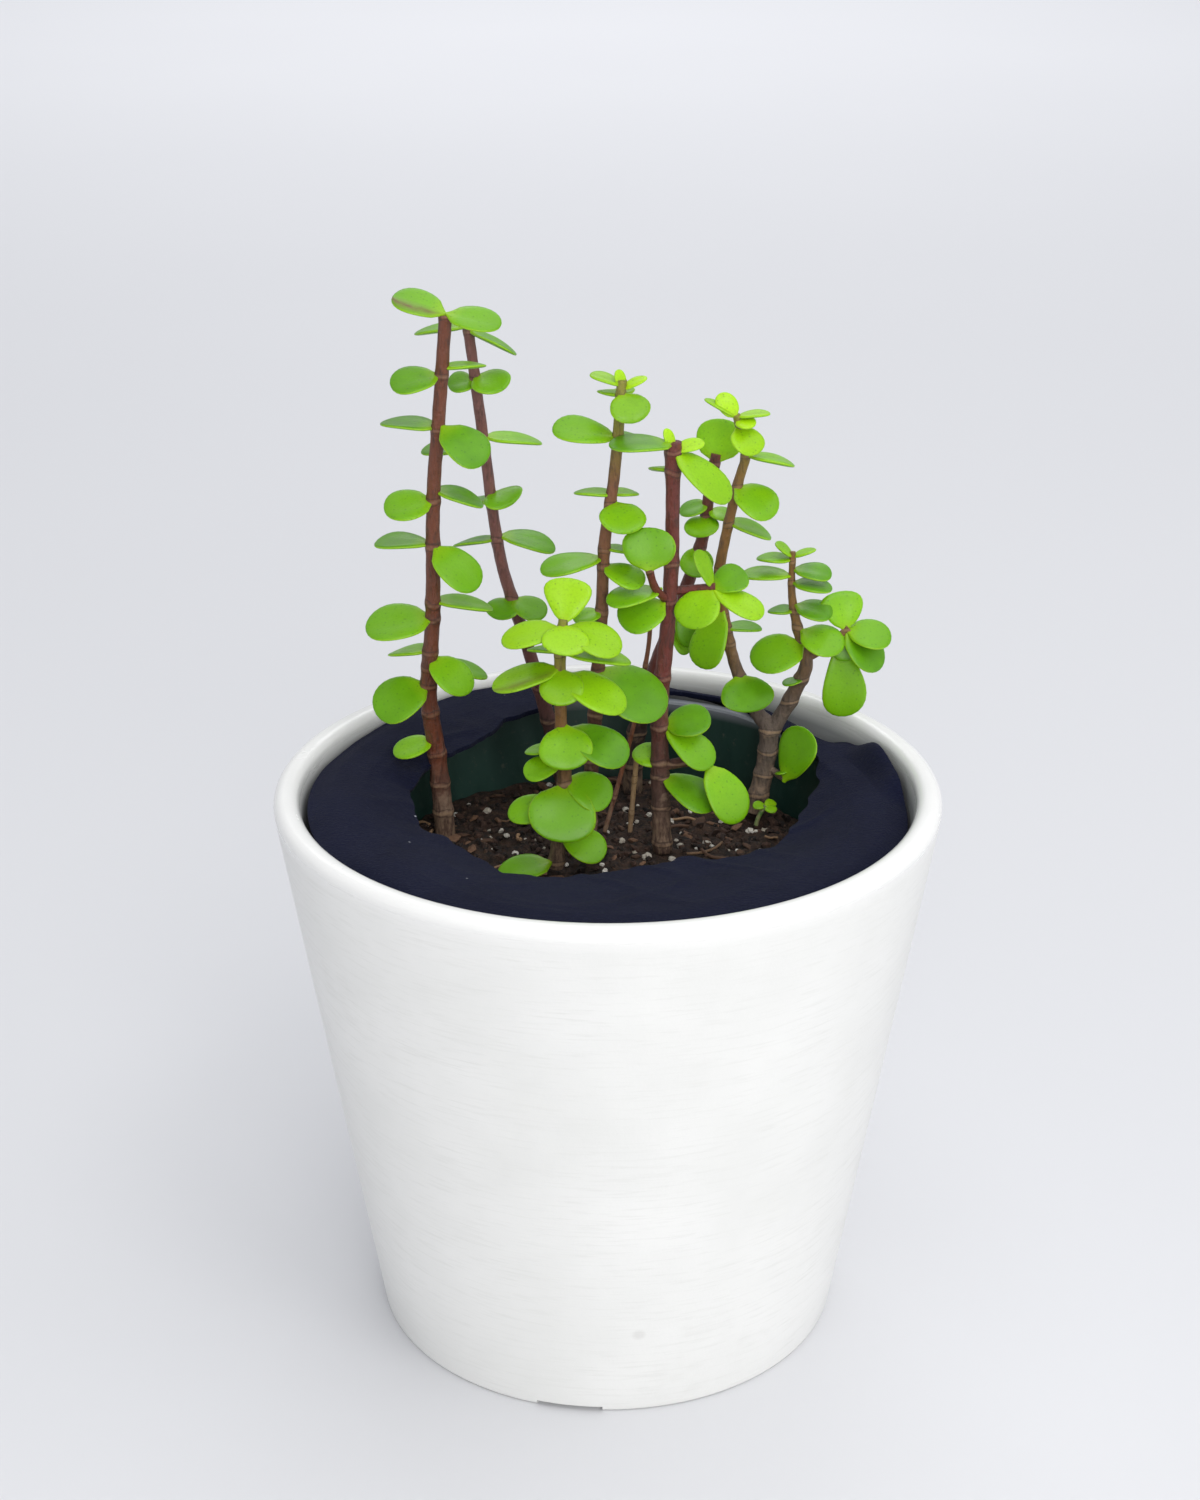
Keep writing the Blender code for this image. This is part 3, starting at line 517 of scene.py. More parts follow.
def scattered(name, masters, dice, count, sizes, spread, sink, room):
    """Copies of the master lumps, strewn on the soil and joined; 'shade' holds each one's own tone."""
    whole = bmesh.new()
    shade = whole.verts.layers.float.new("shade")
    placed = 0
    while placed < count:
        radius = spread * math.sqrt(dice.random())
        angle = dice.uniform(0.0, math.tau)
        x, y = radius * math.cos(angle), radius * math.sin(angle)
        if not clear_of_stems(x, y, room):
            continue
        placed += 1
        size = dice.uniform(*sizes) if dice.random() < 0.75 else sizes[1] * dice.uniform(0.9, 1.35)
        master = dice.choice(masters)
        spin = Matrix.Rotation(dice.uniform(0, math.tau), 4, "Z")
        tip = Matrix.Rotation(dice.uniform(-0.7, 0.7), 4, "X")
        height = soil_height(x, y) + size * sink
        stand = Matrix.Translation((x * MM, y * MM, height * MM)) @ spin @ tip @ Matrix.Scale(size, 4)
        before = len(whole.verts)
        whole.from_mesh(master.data)
        whole.verts.ensure_lookup_table()
        tone = dice.random()
        for vertex in whole.verts[before:]:
            vertex.co = stand @ vertex.co
            vertex[shade] = tone
    for master in masters:
        bpy.data.objects.remove(master, do_unlink=True)
    return linked(name, whole)


def held(finish, key):
    """The value that the mesh holds at each point under this name."""
    return add_node(finish.node_tree, "Attribute", attribute_name=key).outputs["Fac"]


def shaded_finish(name, dark, light, roughness, bump_scale, bump_strength, fleck=None):
    """A finish whose tone runs from dark to light with each bit's own shade."""
    finish, shader = new_finish(name, roughness)
    tone = held(finish, "shade")
    grain = noise_at(object_place(finish), bump_scale, 4.0, 0.65)
    colour = blended(tone, dark, light)
    if fleck:
        colour = blended(stepped(grain, 0.52, 0.68), colour, fleck)
    join(colour, shader, "Base Color")
    bumped(shader, grain, bump_strength, 0.0008)
    return finish


crumb_masters = [rough_lump(soil_dice, (1.0, 0.85, 0.75), 1, 0.9) for _ in range(6)]
crumbs = scattered("soil_crumbs", crumb_masters, soil_dice, count=1500, sizes=(0.8, 2.6),
                   spread=70.0, sink=0.12, room=4.0)
crumb_brown = shaded_finish(
    "crumb_brown", dark=(0.004, 0.003, 0.003), light=(0.060, 0.028, 0.018), roughness=0.85,
    bump_scale=900.0, bump_strength=0.7, fleck=(0.10, 0.055, 0.035))
perlite_masters = [rough_lump(soil_dice, (1.0, 0.9, 0.8), 2, 0.5) for _ in range(4)]
perlite = scattered("perlite_grains", perlite_masters, soil_dice, count=190, sizes=(0.9, 2.3),
                    spread=69.0, sink=0.15, room=4.6)
perlite_white = shaded_finish(
    "perlite_white", dark=(0.42, 0.37, 0.30), light=(0.78, 0.75, 0.69), roughness=0.8,
    bump_scale=1400.0, bump_strength=0.5, fleck=(0.36, 0.30, 0.23))
chip_masters = [rough_lump(soil_dice, (1.3, 0.6, 0.28), 1, 0.6) for _ in range(5)]
chips = scattered("bark_chips", chip_masters, soil_dice, count=150, sizes=(1.8, 4.6),
                  spread=68.0, sink=0.10, room=5.0)
bark_tan = shaded_finish(
    "bark_tan", dark=(0.05, 0.024, 0.014), light=(0.20, 0.105, 0.058), roughness=0.8,
    bump_scale=700.0, bump_strength=0.8, fleck=(0.12, 0.06, 0.035))
for bits, finish in ((crumbs, crumb_brown), (perlite, perlite_white), (chips, bark_tan)):
    bits.data.materials.append(finish)
    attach(bits, "root")


def eased_route(points, per_span):
    """Points read from a smooth curve through a route of (x, y, z, radius)."""
    route = [Vector(p) for p in points]
    ends = [route[0] * 2.0 - route[1]] + route + [route[-1] * 2.0 - route[-2]]
    result = []
    for i in range(1, len(ends) - 2):
        a, b, c, d = ends[i - 1:i + 3]
        for k in range(per_span):
            t = k / per_span
            result.append(0.5 * ((2.0 * b) + (c - a) * t + (2.0 * a - 5.0 * b + 4.0 * c - d) * t * t
                                 + (3.0 * b - a - 3.0 * c + d) * t ** 3))
    result.append(route[-1])
    return result


def skin(whole, rings):
    """Cover a row of rings with faces, and close both ends."""
    for lower, upper in zip(rings, rings[1:]):
        for k in range(len(lower)):
            j = (k + 1) % len(lower)
            whole.faces.new((lower[k], lower[j], upper[j], upper[k]))
    whole.faces.new(list(reversed(rings[0])))
    whole.faces.new(rings[-1])


def add_tube(whole, points, sides, shape=None):
    """Add a closed round tube along (x, y, z, radius) points in mm; shape(place, around) scales it."""
    rings = []
    side = Vector((1.0, 0.0, 0.0))
    for i, point in enumerate(points):
        here = point.xyz
        after = points[min(i + 1, len(points) - 1)].xyz
        before = points[max(i - 1, 0)].xyz
        along = (after - before).normalized()
        side = (side - along * side.dot(along)).normalized()
        over = along.cross(side)
        ring = []
        for k in range(sides):
            angle = math.tau * k / sides
            out = side * math.cos(angle) + over * math.sin(angle)
            reach = point.w * (shape(here, out) if shape else 1.0)
            ring.append(whole.verts.new((here + out * reach) * MM))
        rings.append(ring)
    skin(whole, rings)


twig_mesh = bmesh.new()
twig_shade = twig_mesh.verts.layers.float.new("shade")
for index in range(TWIG_COUNT):
    angle = soil_dice.uniform(0.0, math.tau)
    radius = TWIG_SPREAD * math.sqrt(soil_dice.random())
    x, y = radius * math.cos(angle), radius * math.sin(angle)
    heading = soil_dice.uniform(0.0, math.tau)
    length = soil_dice.uniform(*TWIG_LENGTHS)
    thick = soil_dice.uniform(*TWIG_RADII)
    twig_route = []
    for step in range(4):
        px = x + length * (step / 3.0) * math.cos(heading + 0.25 * step)
        py = y + length * (step / 3.0) * math.sin(heading + 0.25 * step)
        if math.hypot(px, py) > SOIL_RADIUS - 1.2:
            px, py = px * 0.9, py * 0.9
        lift = 0.7 + soil_dice.uniform(0.0, 0.9)
        twig_route.append(Vector((px, py, soil_height(px, py) + lift, thick)))
    before = len(twig_mesh.verts)
    add_tube(twig_mesh, eased_route(twig_route, 3), 6)
    twig_mesh.verts.ensure_lookup_table()
    tone = soil_dice.random()
    for vertex in twig_mesh.verts[before:]:
        vertex[twig_shade] = tone
bmesh.ops.recalc_face_normals(twig_mesh, faces=twig_mesh.faces)
twigs = linked("dry_twigs", twig_mesh)
twigs.data.shade_smooth()
twigs.data.materials.append(shaded_finish(
    "twig_brown", dark=(0.10, 0.05, 0.03), light=(0.36, 0.22, 0.12), roughness=0.8,
    bump_scale=800.0, bump_strength=0.5))
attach(twigs, "root")

# Felt cover: a navy needle-felt sheet, 1.5 mm thick, with a hole torn in it. It is laid in the
# planter over the nursery pot's rim, sinks into the pot round the stems, creases there and rises to the
# wall.
FELT_THICKNESS = 1.5
FELT_OUTER = 90.0
FELT_LAP = 172.6
FELT_STEPS = 300
FELT_BANDS = 44
LAP_INNER = 75.0
LAP_OUTER = 82.0
NAVY_SHADE = (0.0035, 0.0048, 0.019)
NAVY_LIGHT = (0.0062, 0.0082, 0.028)
NAVY_FIBRE = (0.017, 0.021, 0.050)
LINT_COLOUR = (0.40, 0.42, 0.46)
# Every 10 degrees from -180: radius and height of the hole's edge, height of the outer edge
FELT_EDGE = (
    (59.0, 166.0, 171.0), (57.0, 165.0, 170.5), (50.5, 164.0, 170.0), (48.0, 163.0, 169.5),
    (46.0, 162.5, 168.5), (47.5, 162.5, 168.0), (43.5, 162.0, 168.0), (40.0, 162.0, 168.0),
    (37.5, 162.0, 168.0), (34.5, 162.0, 168.0), (33.0, 162.0, 168.0), (32.8, 162.0, 167.5),
    (33.0, 162.0, 167.0), (33.5, 162.5, 167.0), (43.0, 163.0, 166.5), (48.5, 163.5, 166.0),
    (53.0, 163.0, 166.0), (55.0, 163.5, 166.0), (58.0, 164.0, 167.0), (63.0, 165.0, 172.5),
    (70.5, 166.0, 175.0), (75.5, 167.5, 169.0), (76.5, 169.0, 164.5), (77.5, 172.0, 165.0),
    (81.0, 174.6, 168.0), (81.5, 174.6, 170.0), (80.0, 174.6, 172.0), (77.0, 174.8, 173.0),
    (73.0, 174.6, 173.5), (66.0, 174.2, 174.0), (63.0, 174.0, 174.0), (57.5, 173.0, 173.0),
    (56.5, 172.5, 172.0), (58.0, 172.0, 171.0), (61.0, 170.0, 170.5), (61.5, 168.0, 171.0),
)


def felt_row(azimuth):
    """The felt's edge values at an azimuth, eased between the table's rows."""
    before, after, share = rows_beside(azimuth, FELT_EDGE)
    return [low + (high - low) * share for low, high in zip(before, after)]


def felt_point(azimuth, share):
    """Underside of the felt: share 0 is the edge of the hole, 1 the planter's wall."""
    hole_radius, hole_height, wall_height = felt_row(azimuth)
    angle = math.radians(azimuth)
    ragged = 0.7 * noise.noise(Vector((math.cos(angle) * 9.0, math.sin(angle) * 9.0, 4.0)))
    ragged += 0.35 * noise.noise(Vector((math.cos(angle) * 31.0, math.sin(angle) * 31.0, 2.0)))
    hole_radius += ragged
    radius = hole_radius + (FELT_OUTER - hole_radius) * share
    lap = FELT_LAP - rim_drop(azimuth)
    if radius >= LAP_OUTER:
        t = (radius - LAP_OUTER) / (FELT_OUTER - LAP_OUTER)
        height = lap + (wall_height - FELT_THICKNESS - lap) * eased(t)
    elif radius >= LAP_INNER:
        height = lap
    else:
        t = min((LAP_INNER - radius) / max(LAP_INNER - hole_radius, 1.0), 1.0)
        height = lap + (hole_height - FELT_THICKNESS - lap) * t ** 1.05
    x, y = radius * math.cos(angle), radius * math.sin(angle)
    loose = min(1.0, max(0.0, (LAP_INNER - radius) / 10.0))
    drape = 0.8 * noise.noise(Vector((x * 0.035, y * 0.035, 5.0)))
    crease = 1.0 - abs(noise.noise(Vector((x * 0.045 + 7.0, y * 0.045, 2.0)))) * 4.0
    height += loose * (drape + 0.7 * max(crease, 0.0) ** 2)
    height += 0.12 * noise.noise(Vector((x * 0.12, y * 0.12, 9.0)))
    # It never dips into the nursery pot's rim
    lowest = lap if LAP_INNER - 1.0 < radius < LAP_OUTER else 0.0
    return Vector((x, y, max(height, lowest)))


felt_mesh = bmesh.new()
felt_grid = []
for i in range(FELT_STEPS):
    azimuth = -180.0 + 360.0 * i / FELT_STEPS
    felt_grid.append([felt_mesh.verts.new(felt_point(azimuth, j / FELT_BANDS) * MM)
                      for j in range(FELT_BANDS + 1)])
for i in range(FELT_STEPS):
    after = felt_grid[(i + 1) % FELT_STEPS]
    for j in range(FELT_BANDS):
        felt_mesh.faces.new((felt_grid[i][j], felt_grid[i][j + 1], after[j + 1], after[j]))
bmesh.ops.recalc_face_normals(felt_mesh, faces=felt_mesh.faces)
if felt_mesh.faces[:][0].normal.z < 0.0:
    bmesh.ops.reverse_faces(felt_mesh, faces=felt_mesh.faces[:])
felt = linked("felt_sheet", felt_mesh)
selected_only(felt)
thickening = felt.modifiers.new("thickness", "SOLIDIFY")
thickening.thickness = FELT_THICKNESS * MM
thickening.offset = 1.0
bpy.ops.object.modifier_apply(modifier=thickening.name)
rounding = felt.modifiers.new("soft edge", "BEVEL")
rounding.width = 0.45 * MM
rounding.segments = 2
rounding.limit_method = "ANGLE"
rounding.angle_limit = math.radians(50.0)
bpy.ops.object.modifier_apply(modifier=rounding.name)
smoothed(felt, 60.0)


def cells_at(place, scale):
    """Distance from the middle of the nearest cell: small in a fine scatter of dots."""
    sockets = {"Vector": place, "Scale": scale}
    return add_node(place.id_data, "TexVoronoi", sockets).outputs["Distance"]


navy, navy_shader = new_finish("navy_felt", 0.95, Sheen_Weight=0.035, Sheen_Roughness=0.5,
                               Specular_IOR_Level=0.1)
navy_place = object_place(navy)
navy_cloud = noise_at(navy_place, 35.0, 4.0, 0.6)
navy_fibre = noise_at(navy_place, 1100.0, 4.0, 0.75)
navy_wisp = noise_at(object_place(navy, (1.0, 3.5, 1.0)), 500.0, 3.0, 0.7)
navy_colour = blended(stepped(navy_cloud, 0.3, 0.7), NAVY_SHADE, NAVY_LIGHT)
navy_colour = tinted(navy_colour, NAVY_FIBRE, stepped(navy_fibre, 0.5, 0.8), 0.6)
# A few bits of pale lint
lint_cells = cells_at(navy_place, 150.0)
lint_field = stepped(noise_at(navy_place, 90.0, 1.0), 0.66, 0.70)
navy_colour = tinted(navy_colour, LINT_COLOUR, stepped(lint_cells, 0.075, 0.03), lint_field)
join(navy_colour, navy_shader, "Base Color")
bumped(navy_shader, sums("ADD", navy_fibre, times(navy_wisp, 0.6)), 0.5, 0.0012)
felt.data.materials.append(navy)
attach(felt, "root")
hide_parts("felt_cover")

# Leafy stems: seven cuttings of elephant bush. Each is a barked, jointed shoot with opposite pairs
# of fleshy obovate leaves; a stem is a tube that swells at its joints, and every leaf is a copy of
# one blade, bent and sized by its own row. The routes and most rows are the CAD source's.
LEAF_THICKNESS = 2.0
LEAF_SIDES = 20
LEAF_RINGS = 14
LEAF_NECK = 0.09
LEAF_NECK_BODY = 0.62
LEAF_SAG = 0.10
LEAF_CUP = 0.05
LEAF_CREASE = 0.12
LEAF_WOBBLE = 0.025
LEAF_TWIST = 0.10
# Stem routes: x, y, z and radius, from the soil up
STEM_A = (
    (-51, 26, 146, 3.2), (-53, 26, 173, 2.8), (-55, 25, 195, 2.5), (-53, 24, 221, 2.25),
    (-52, 24, 256, 2.1), (-50, 24, 278, 2.0), (-47, 24, 312, 1.9),
)
STEM_B = (
    (-14, 61, 146, 2.8), (-19, 58, 171, 2.4), (-25, 54, 197, 2.1), (-30, 50, 216, 1.95),
    (-34, 48, 234, 1.8), (-38, 46, 270, 1.7), (-42, 46, 305, 1.6),
)
STEM_C = (
    (-6, 9, 146, 2.5), (-5, 11, 176, 2.2), (-4, 13, 190, 2.1), (-2, 16, 222, 1.85),
    (-1, 18, 245, 1.75), (2, 20, 267, 1.7), (4, 20, 294, 1.5),
)
STEM_D = (
    (17, 14, 146, 3.0), (16, 15, 173, 2.7), (16, 16, 196, 2.5), (18, 17, 220, 2.3),
    (19, 18, 242, 2.2), (19, 18, 257, 2.1), (19, 18, 276, 2.5),
)
STEM_E = (
    (8, 60, 146, 3.2), (9, 58, 166, 3.0), (15, 54, 191, 2.5), (23, 52, 215, 2.1),
    (29, 50, 235, 1.9), (31, 50, 250, 1.8), (33, 50, 263, 1.6),
)
STEM_F = (
    (47, 44, 146, 3.2), (50, 45, 160, 3.0), (51, 45, 174, 2.9), (47, 46, 180, 2.3),
    (40, 44, 196, 1.9), (36, 42, 213, 1.7), (34, 40, 224, 1.6), (35, 38, 236, 1.6),
    (39, 35, 258, 1.5), (41, 34, 268, 1.4), (38, 33, 280, 1.2),
)
STEM_G = (
    (-16, 3, 146, 2.5), (-15, 2, 154, 2.3), (-13, 0, 177, 2.1), (-14, -2, 198, 1.8),
    (-14, -3, 218, 1.7), (-13, -4, 229, 1.4),
)

# Side shoots: each starts inside its stem, and is a route like the stems'
SHOOTS_D = (
    ((18, 17, 227, 1.2), (14, 12, 233, 1.2), (12, 9, 240, 1.1)),
    ((19, 18, 230, 1.4), (26, 17, 231, 1.3), (32, 16, 232, 1.2)),
    ((16, 15, 174, 1.5), (23, 14, 176, 1.4), (31, 12, 177, 1.2)),
)
SHOOTS_F = (
    ((51, 45, 172, 2.6), (56, 45, 181, 2.4), (59, 44, 188, 2.3), (62, 42, 198, 2.1),
     (59, 44, 209, 1.6), (57, 45, 220, 1.2), (57, 46, 233, 0.9)),
    ((61, 42, 199, 1.5), (68, 42, 203, 1.3), (75, 43, 209, 1.2)),
    ((50, 45, 162, 1.3), (54, 42, 160, 1.1), (56, 38, 160, 0.9)),
)

# Leaves: (attachment x, y, z, reach right, reach back, reach up, width, lean of the face to the front)
LEAVES_A = (
    (-47, 24, 312, -15, 2, 6, 14, 0.35), (-47, 24, 312, 16, -5, -1, 13, 0.35),
    (-49, 24, 294, -14, -5, -1, 14, 0.4), (-49, 24, 296, 13, 5, 1, 11, 0.0),
    (-50, 24, 278, -17, 5, 2, 13, 0.1), (-49, 23, 279, 13, -8, -8, 15, 0.3),
    (-52, 24, 256, -14, -5, -1, 15, 0.45), (-52, 24, 259, 15, 4, -4, 13, 0.15),
    (-53, 24, 242, -17, 5, 1, 13, 0.05), (-52, 23, 242, 13, -8, -10, 15, 0.35),
    (-53, 24, 219, -20, -5, -1, 18, 0.4), (-53, 24, 224, 18, 5, -2, 15, 0.0),
    (-54, 25, 208, -13, 6, -2, 12, 0.1), (-54, 25, 206, 12, -8, -8, 14, 0.3),
    (-55, 25, 197, -16, -7, -6, 17, 0.5), (-54, 25, 203, 17, 7, -4, 12, 0.1),
    (-54, 26, 178, -12, -5, -2, 11, 0.35),
)
LEAVES_B = (
    (-42, 46, 303, -16, 2, -1, 13, 0.0), (-42, 46, 302, 15, -4, -5, 12, -0.1),
    (-40, 46, 287, -8, -2, -1, 12, 0.4), (-40, 46, 288, 9, -7, -1, 14, 0.4),
    (-38, 46, 266, -19, 1, 0, 13, 0.1), (-38, 46, 269, 18, 3, -1, 13, 0.1),
    (-36, 47, 248, -6, 8, 0, 12, 0.0), (-36, 47, 251, 7, -7, 0, 15, 0.25),
    (-34, 48, 236, -14, 4, -2, 11, 0.0), (-34, 48, 237, 18, 2, -3, 13, 0.1),
    (-30, 50, 216, -5, -8, -3, 12, 0.2), (-30, 50, 216, 10, -7, -3, 12, 0.2),
)
LEAVES_C = (
    (4, 20, 291, -1, 0, 6, 4, 0.3), (4, 20, 291, 7, 1, 4, 5, 0.3), (4, 20, 292, -9, 2, 4, 8, 0.0),
    (4, 20, 290, 4, -8, -6, 13, 0.35), (4, 20, 289, -3, 10, 0, 12, 0.0),
    (3, 20, 276, -19, 0, 5, 13, 0.3), (3, 20, 276, 7, 9, -1, 11, 0.0),
    (2, 20, 259, -12, 3, 1, 10, 0.0), (2, 20, 259, 6, 6, 0, 8, 0.0),
    (2, 19, 257, 4, -11, -5, 15, 0.2), (-1, 18, 243, 9, 3, -1, 9, 0.0),
    (-1, 18, 240, -19, -5, -1, 14, 0.1), (-1, 18, 238, 11, -8, -3, 12, 0.1),
    (-2, 16, 224, -8, -4, -1, 9, 0.2), (-3, 15, 206, 19, -13, -9, 21, 0.35),
)
LEAVES_D = (
    (19, 18, 275, -18, -8, 3, 15, 0.15), (19, 18, 273, -2, 0, 7, 4, 0.3),
    (19, 18, 273, 9, 2, 3, 6, 0.4), (19, 18, 273, 17, -7, -12, 15, 0.25),
    (19, 18, 267, -1, 13, -2, 14, -0.1), (12, 9, 239, 0, 2, 13, 17, 0.4),
    (16, 16, 231, -16, -9, 0, 12, 0.1), (17, 16, 227, -13, -7, -4, 16, 0.4),
    (31, 16, 231, -4, 2, 12, 7, 0.1), (31, 16, 231, 10, 3, 5, 12, 0.4),
    (31, 16, 231, 15, -7, -5, 12, 0.3), (31, 16, 231, -8, -9, -8, 15, 0.35),
    (17, 16, 187, 15, -8, -9, 13, 0.4), (17, 16, 187, 14, -2, 4, 13, 0.5),
    (16, 15, 171, 17, -8, -6, 15, 0.35), (30, 12, 176, 11, -8, -15, 15, 0.35),
    (16, 15, 174, -7, 5, 5, 10, 0.3),
)
LEAVES_E = (
    (33, 50, 260, 2, 4, 13, 16, 0.4), (31, 50, 247, -9, -2, -2, 10, 0.3),
    (31, 50, 243, -4, -9, -3, 12, 0.1), (31, 50, 245, 7, -4, -1, 9, 0.2),
    (28, 51, 233, -1, -8, -7, 11, 0.3), (24, 52, 214, 2, -5, -13, 9, 0.3),
    (21, 53, 206, 4, -4, -8, 7, 0.3),
)
LEAVES_F = (
    (38, 33, 279, -9, 2, 6, 6, 0.0), (38, 33, 279, -5, 2, 7, 7, 0.8),
    (38, 33, 279, 10, 1, 2, 7, 0.0), (38, 33, 278, 5, -4, 0, 7, 0.4),
    (38, 33, 276, 6, -6, -6, 12, 0.3), (41, 34, 267, 15, 1, -2, 13, 0.0),
    (38, 35, 257, 12, -7, -6, 15, 0.35), (36, 37, 245, 14, 3, -4, 13, 0.1),
    (57, 46, 231, -5, 1, 5, 7, 0.0), (57, 46, 231, 7, 1, 3, 6, 0.0),
    (57, 46, 230, -11, 2, 1, 10, 0.1), (57, 46, 227, 12, -3, 0, 11, 0.1),
    (57, 45, 225, -16, 3, 1, 11, 0.1), (57, 45, 223, 12, -4, 0, 12, 0.1),
    (58, 44, 216, 11, -5, -1, 12, 0.2), (58, 44, 214, -8, 3, 0, 9, 0.1),
    (74, 43, 208, -2, 3, 12, 15, 0.4), (74, 43, 208, 14, -3, -1, 14, 0.4),
    (74, 43, 208, 11, -6, -10, 15, 0.4), (74, 43, 208, -1, -5, -8, 9, 0.3),
    (60, 43, 208, 12, -8, -3, 15, 0.4), (61, 42, 204, -16, -6, -4, 18, 0.5),
    (72, 43, 205, 3, -5, -24, 15, 0.4), (41, 44, 193, 4, -10, -8, 19, 0.35),
    (61, 43, 192, -6, -4, 0, 6, 0.0), (36, 42, 209, 12, 4, 0, 8, 0.1),
    (36, 41, 216, -8, -6, -17, 13, 0.3), (56, 38, 159, 6, -1, 18, 16, 0.4),
    (54, 42, 160, 2, -5, 3, 4.5, 0.2),
)
LEAVES_G = (
    (-13, -4, 227, 2, 5, 13, 15, 0.4), (-14, -4, 226, -17, -4, -2, 13, 0.35),
    (-13, -4, 227, 1, -10, -5, 15, 0.35), (-13, -4, 226, 17, -5, -4, 14, 0.35),
    (-13, -4, 218, 20, 3, -2, 13, 0.1), (-14, -3, 218, -9, 6, 0, 10, -0.2),
    (-14, -3, 213, -20, -5, -3, 13, 0.3), (-14, -3, 213, 1, -10, -7, 14, 0.35),
    (-13, -3, 211, 18, -8, -7, 16, 0.35), (-13, -2, 195, 1, -10, -10, 17, 0.35),
    (-13, -1, 193, 19, -7, -6, 15, 0.4), (-14, 0, 182, -11, -4, -2, 10, 0.35),
    (-14, 0, 186, -11, 3, -1, 8, 0.2), (-13, 0, 175, -1, -13, -13, 22, 0.35),
    (-13, 1, 176, 14, -4, -5, 14, 0.5), (-15, 1, 168, -15, -4, -2, 13, 0.45),
    (-14, 2, 158, 13, -6, -5, 13, 0.35), (-17, 1, 148, -16, -7, 0, 12, 0.25),
)

JOINT_SPACING = 4.0
# Joints below the lowest leaves, where old leaves have dropped: heights in mm
BARE_JOINTS = {
    "stem_a": (154.5, 164, 174, 188), "stem_b": (160, 172, 184, 201), "stem_c": (158, 168, 178, 192),
    "stem_d": (149, 161, 172, 189, 203), "stem_e": (156, 168, 182), "stem_f": (152, 160, 167, 174, 184),
    "stem_g": (151, 163),
}
# How young and yellow a leaf is, 0 to 1, by its place in its stem's table
YOUNG_LEAVES = {
    "stem_c": {0: 0.9, 1: 1.0, 2: 0.5, 3: 0.25, 4: 0.2},
    "stem_d": {1: 1.0, 2: 0.9, 3: 0.3, 4: 0.3, 8: 0.35, 10: 0.5, 11: 0.25},
    "stem_f": {0: 0.5, 1: 1.0, 2: 0.7, 3: 1.0, 4: 0.6, 8: 0.3, 9: 0.3},
    "stem_g": {0: 0.75, 1: 0.6, 2: 0.6, 3: 0.55, 4: 0.3, 6: 0.45, 7: 0.4, 8: 0.35},
}
# Leaves with a brown scar: how strong it is
SCARRED_LEAVES = {"stem_a": {0: 1.0}, "stem_g": {6: 0.6}}
# Leaves that widen towards the tip like a fan (above 0) or narrow towards it (below 0)
FAN_LEAVES = {
    "stem_a": {2: 0.3, 3: 0.3, 8: 0.4},
    "stem_c": {5: 0.3, 11: 0.3},
    "stem_d": {0: 0.2, 3: 0.35, 8: 0.5, 9: 0.3, 10: 0.5, 12: 0.5, 14: 0.7, 15: 0.2},
    "stem_f": {5: 0.3, 16: 0.7, 22: 0.9, 23: 0.3, 26: 0.5, 27: 0.7},
    "stem_g": {0: 1.0, 10: 0.3, 14: 0.3, 17: -0.3},
}
LEAF_DARK = (0.085, 0.270, 0.002)
LEAF_MATURE = (0.175, 0.460, 0.002)
LEAF_BRIGHT = (0.270, 0.590, 0.003)
LEAF_YOUNG = (0.400, 0.700, 0.004)
LEAF_ROOT = (0.390, 0.600, 0.010)
LEAF_MARGIN = (0.340, 0.600, 0.020)
LEAF_UNDER = (0.200, 0.380, 0.060)
LEAF_SPECKLE = (0.03, 0.12, 0.012)
LEAF_SCAR = (0.16, 0.09, 0.035)
BARK_TIP = (0.27, 0.25, 0.035)
BARK_FOOT = (0.32, 0.215, 0.14)
BARK_FLAKE = (0.34, 0.235, 0.16)
BARK_RING = (0.40, 0.26, 0.155)
NO_GREEN_TIP = 400


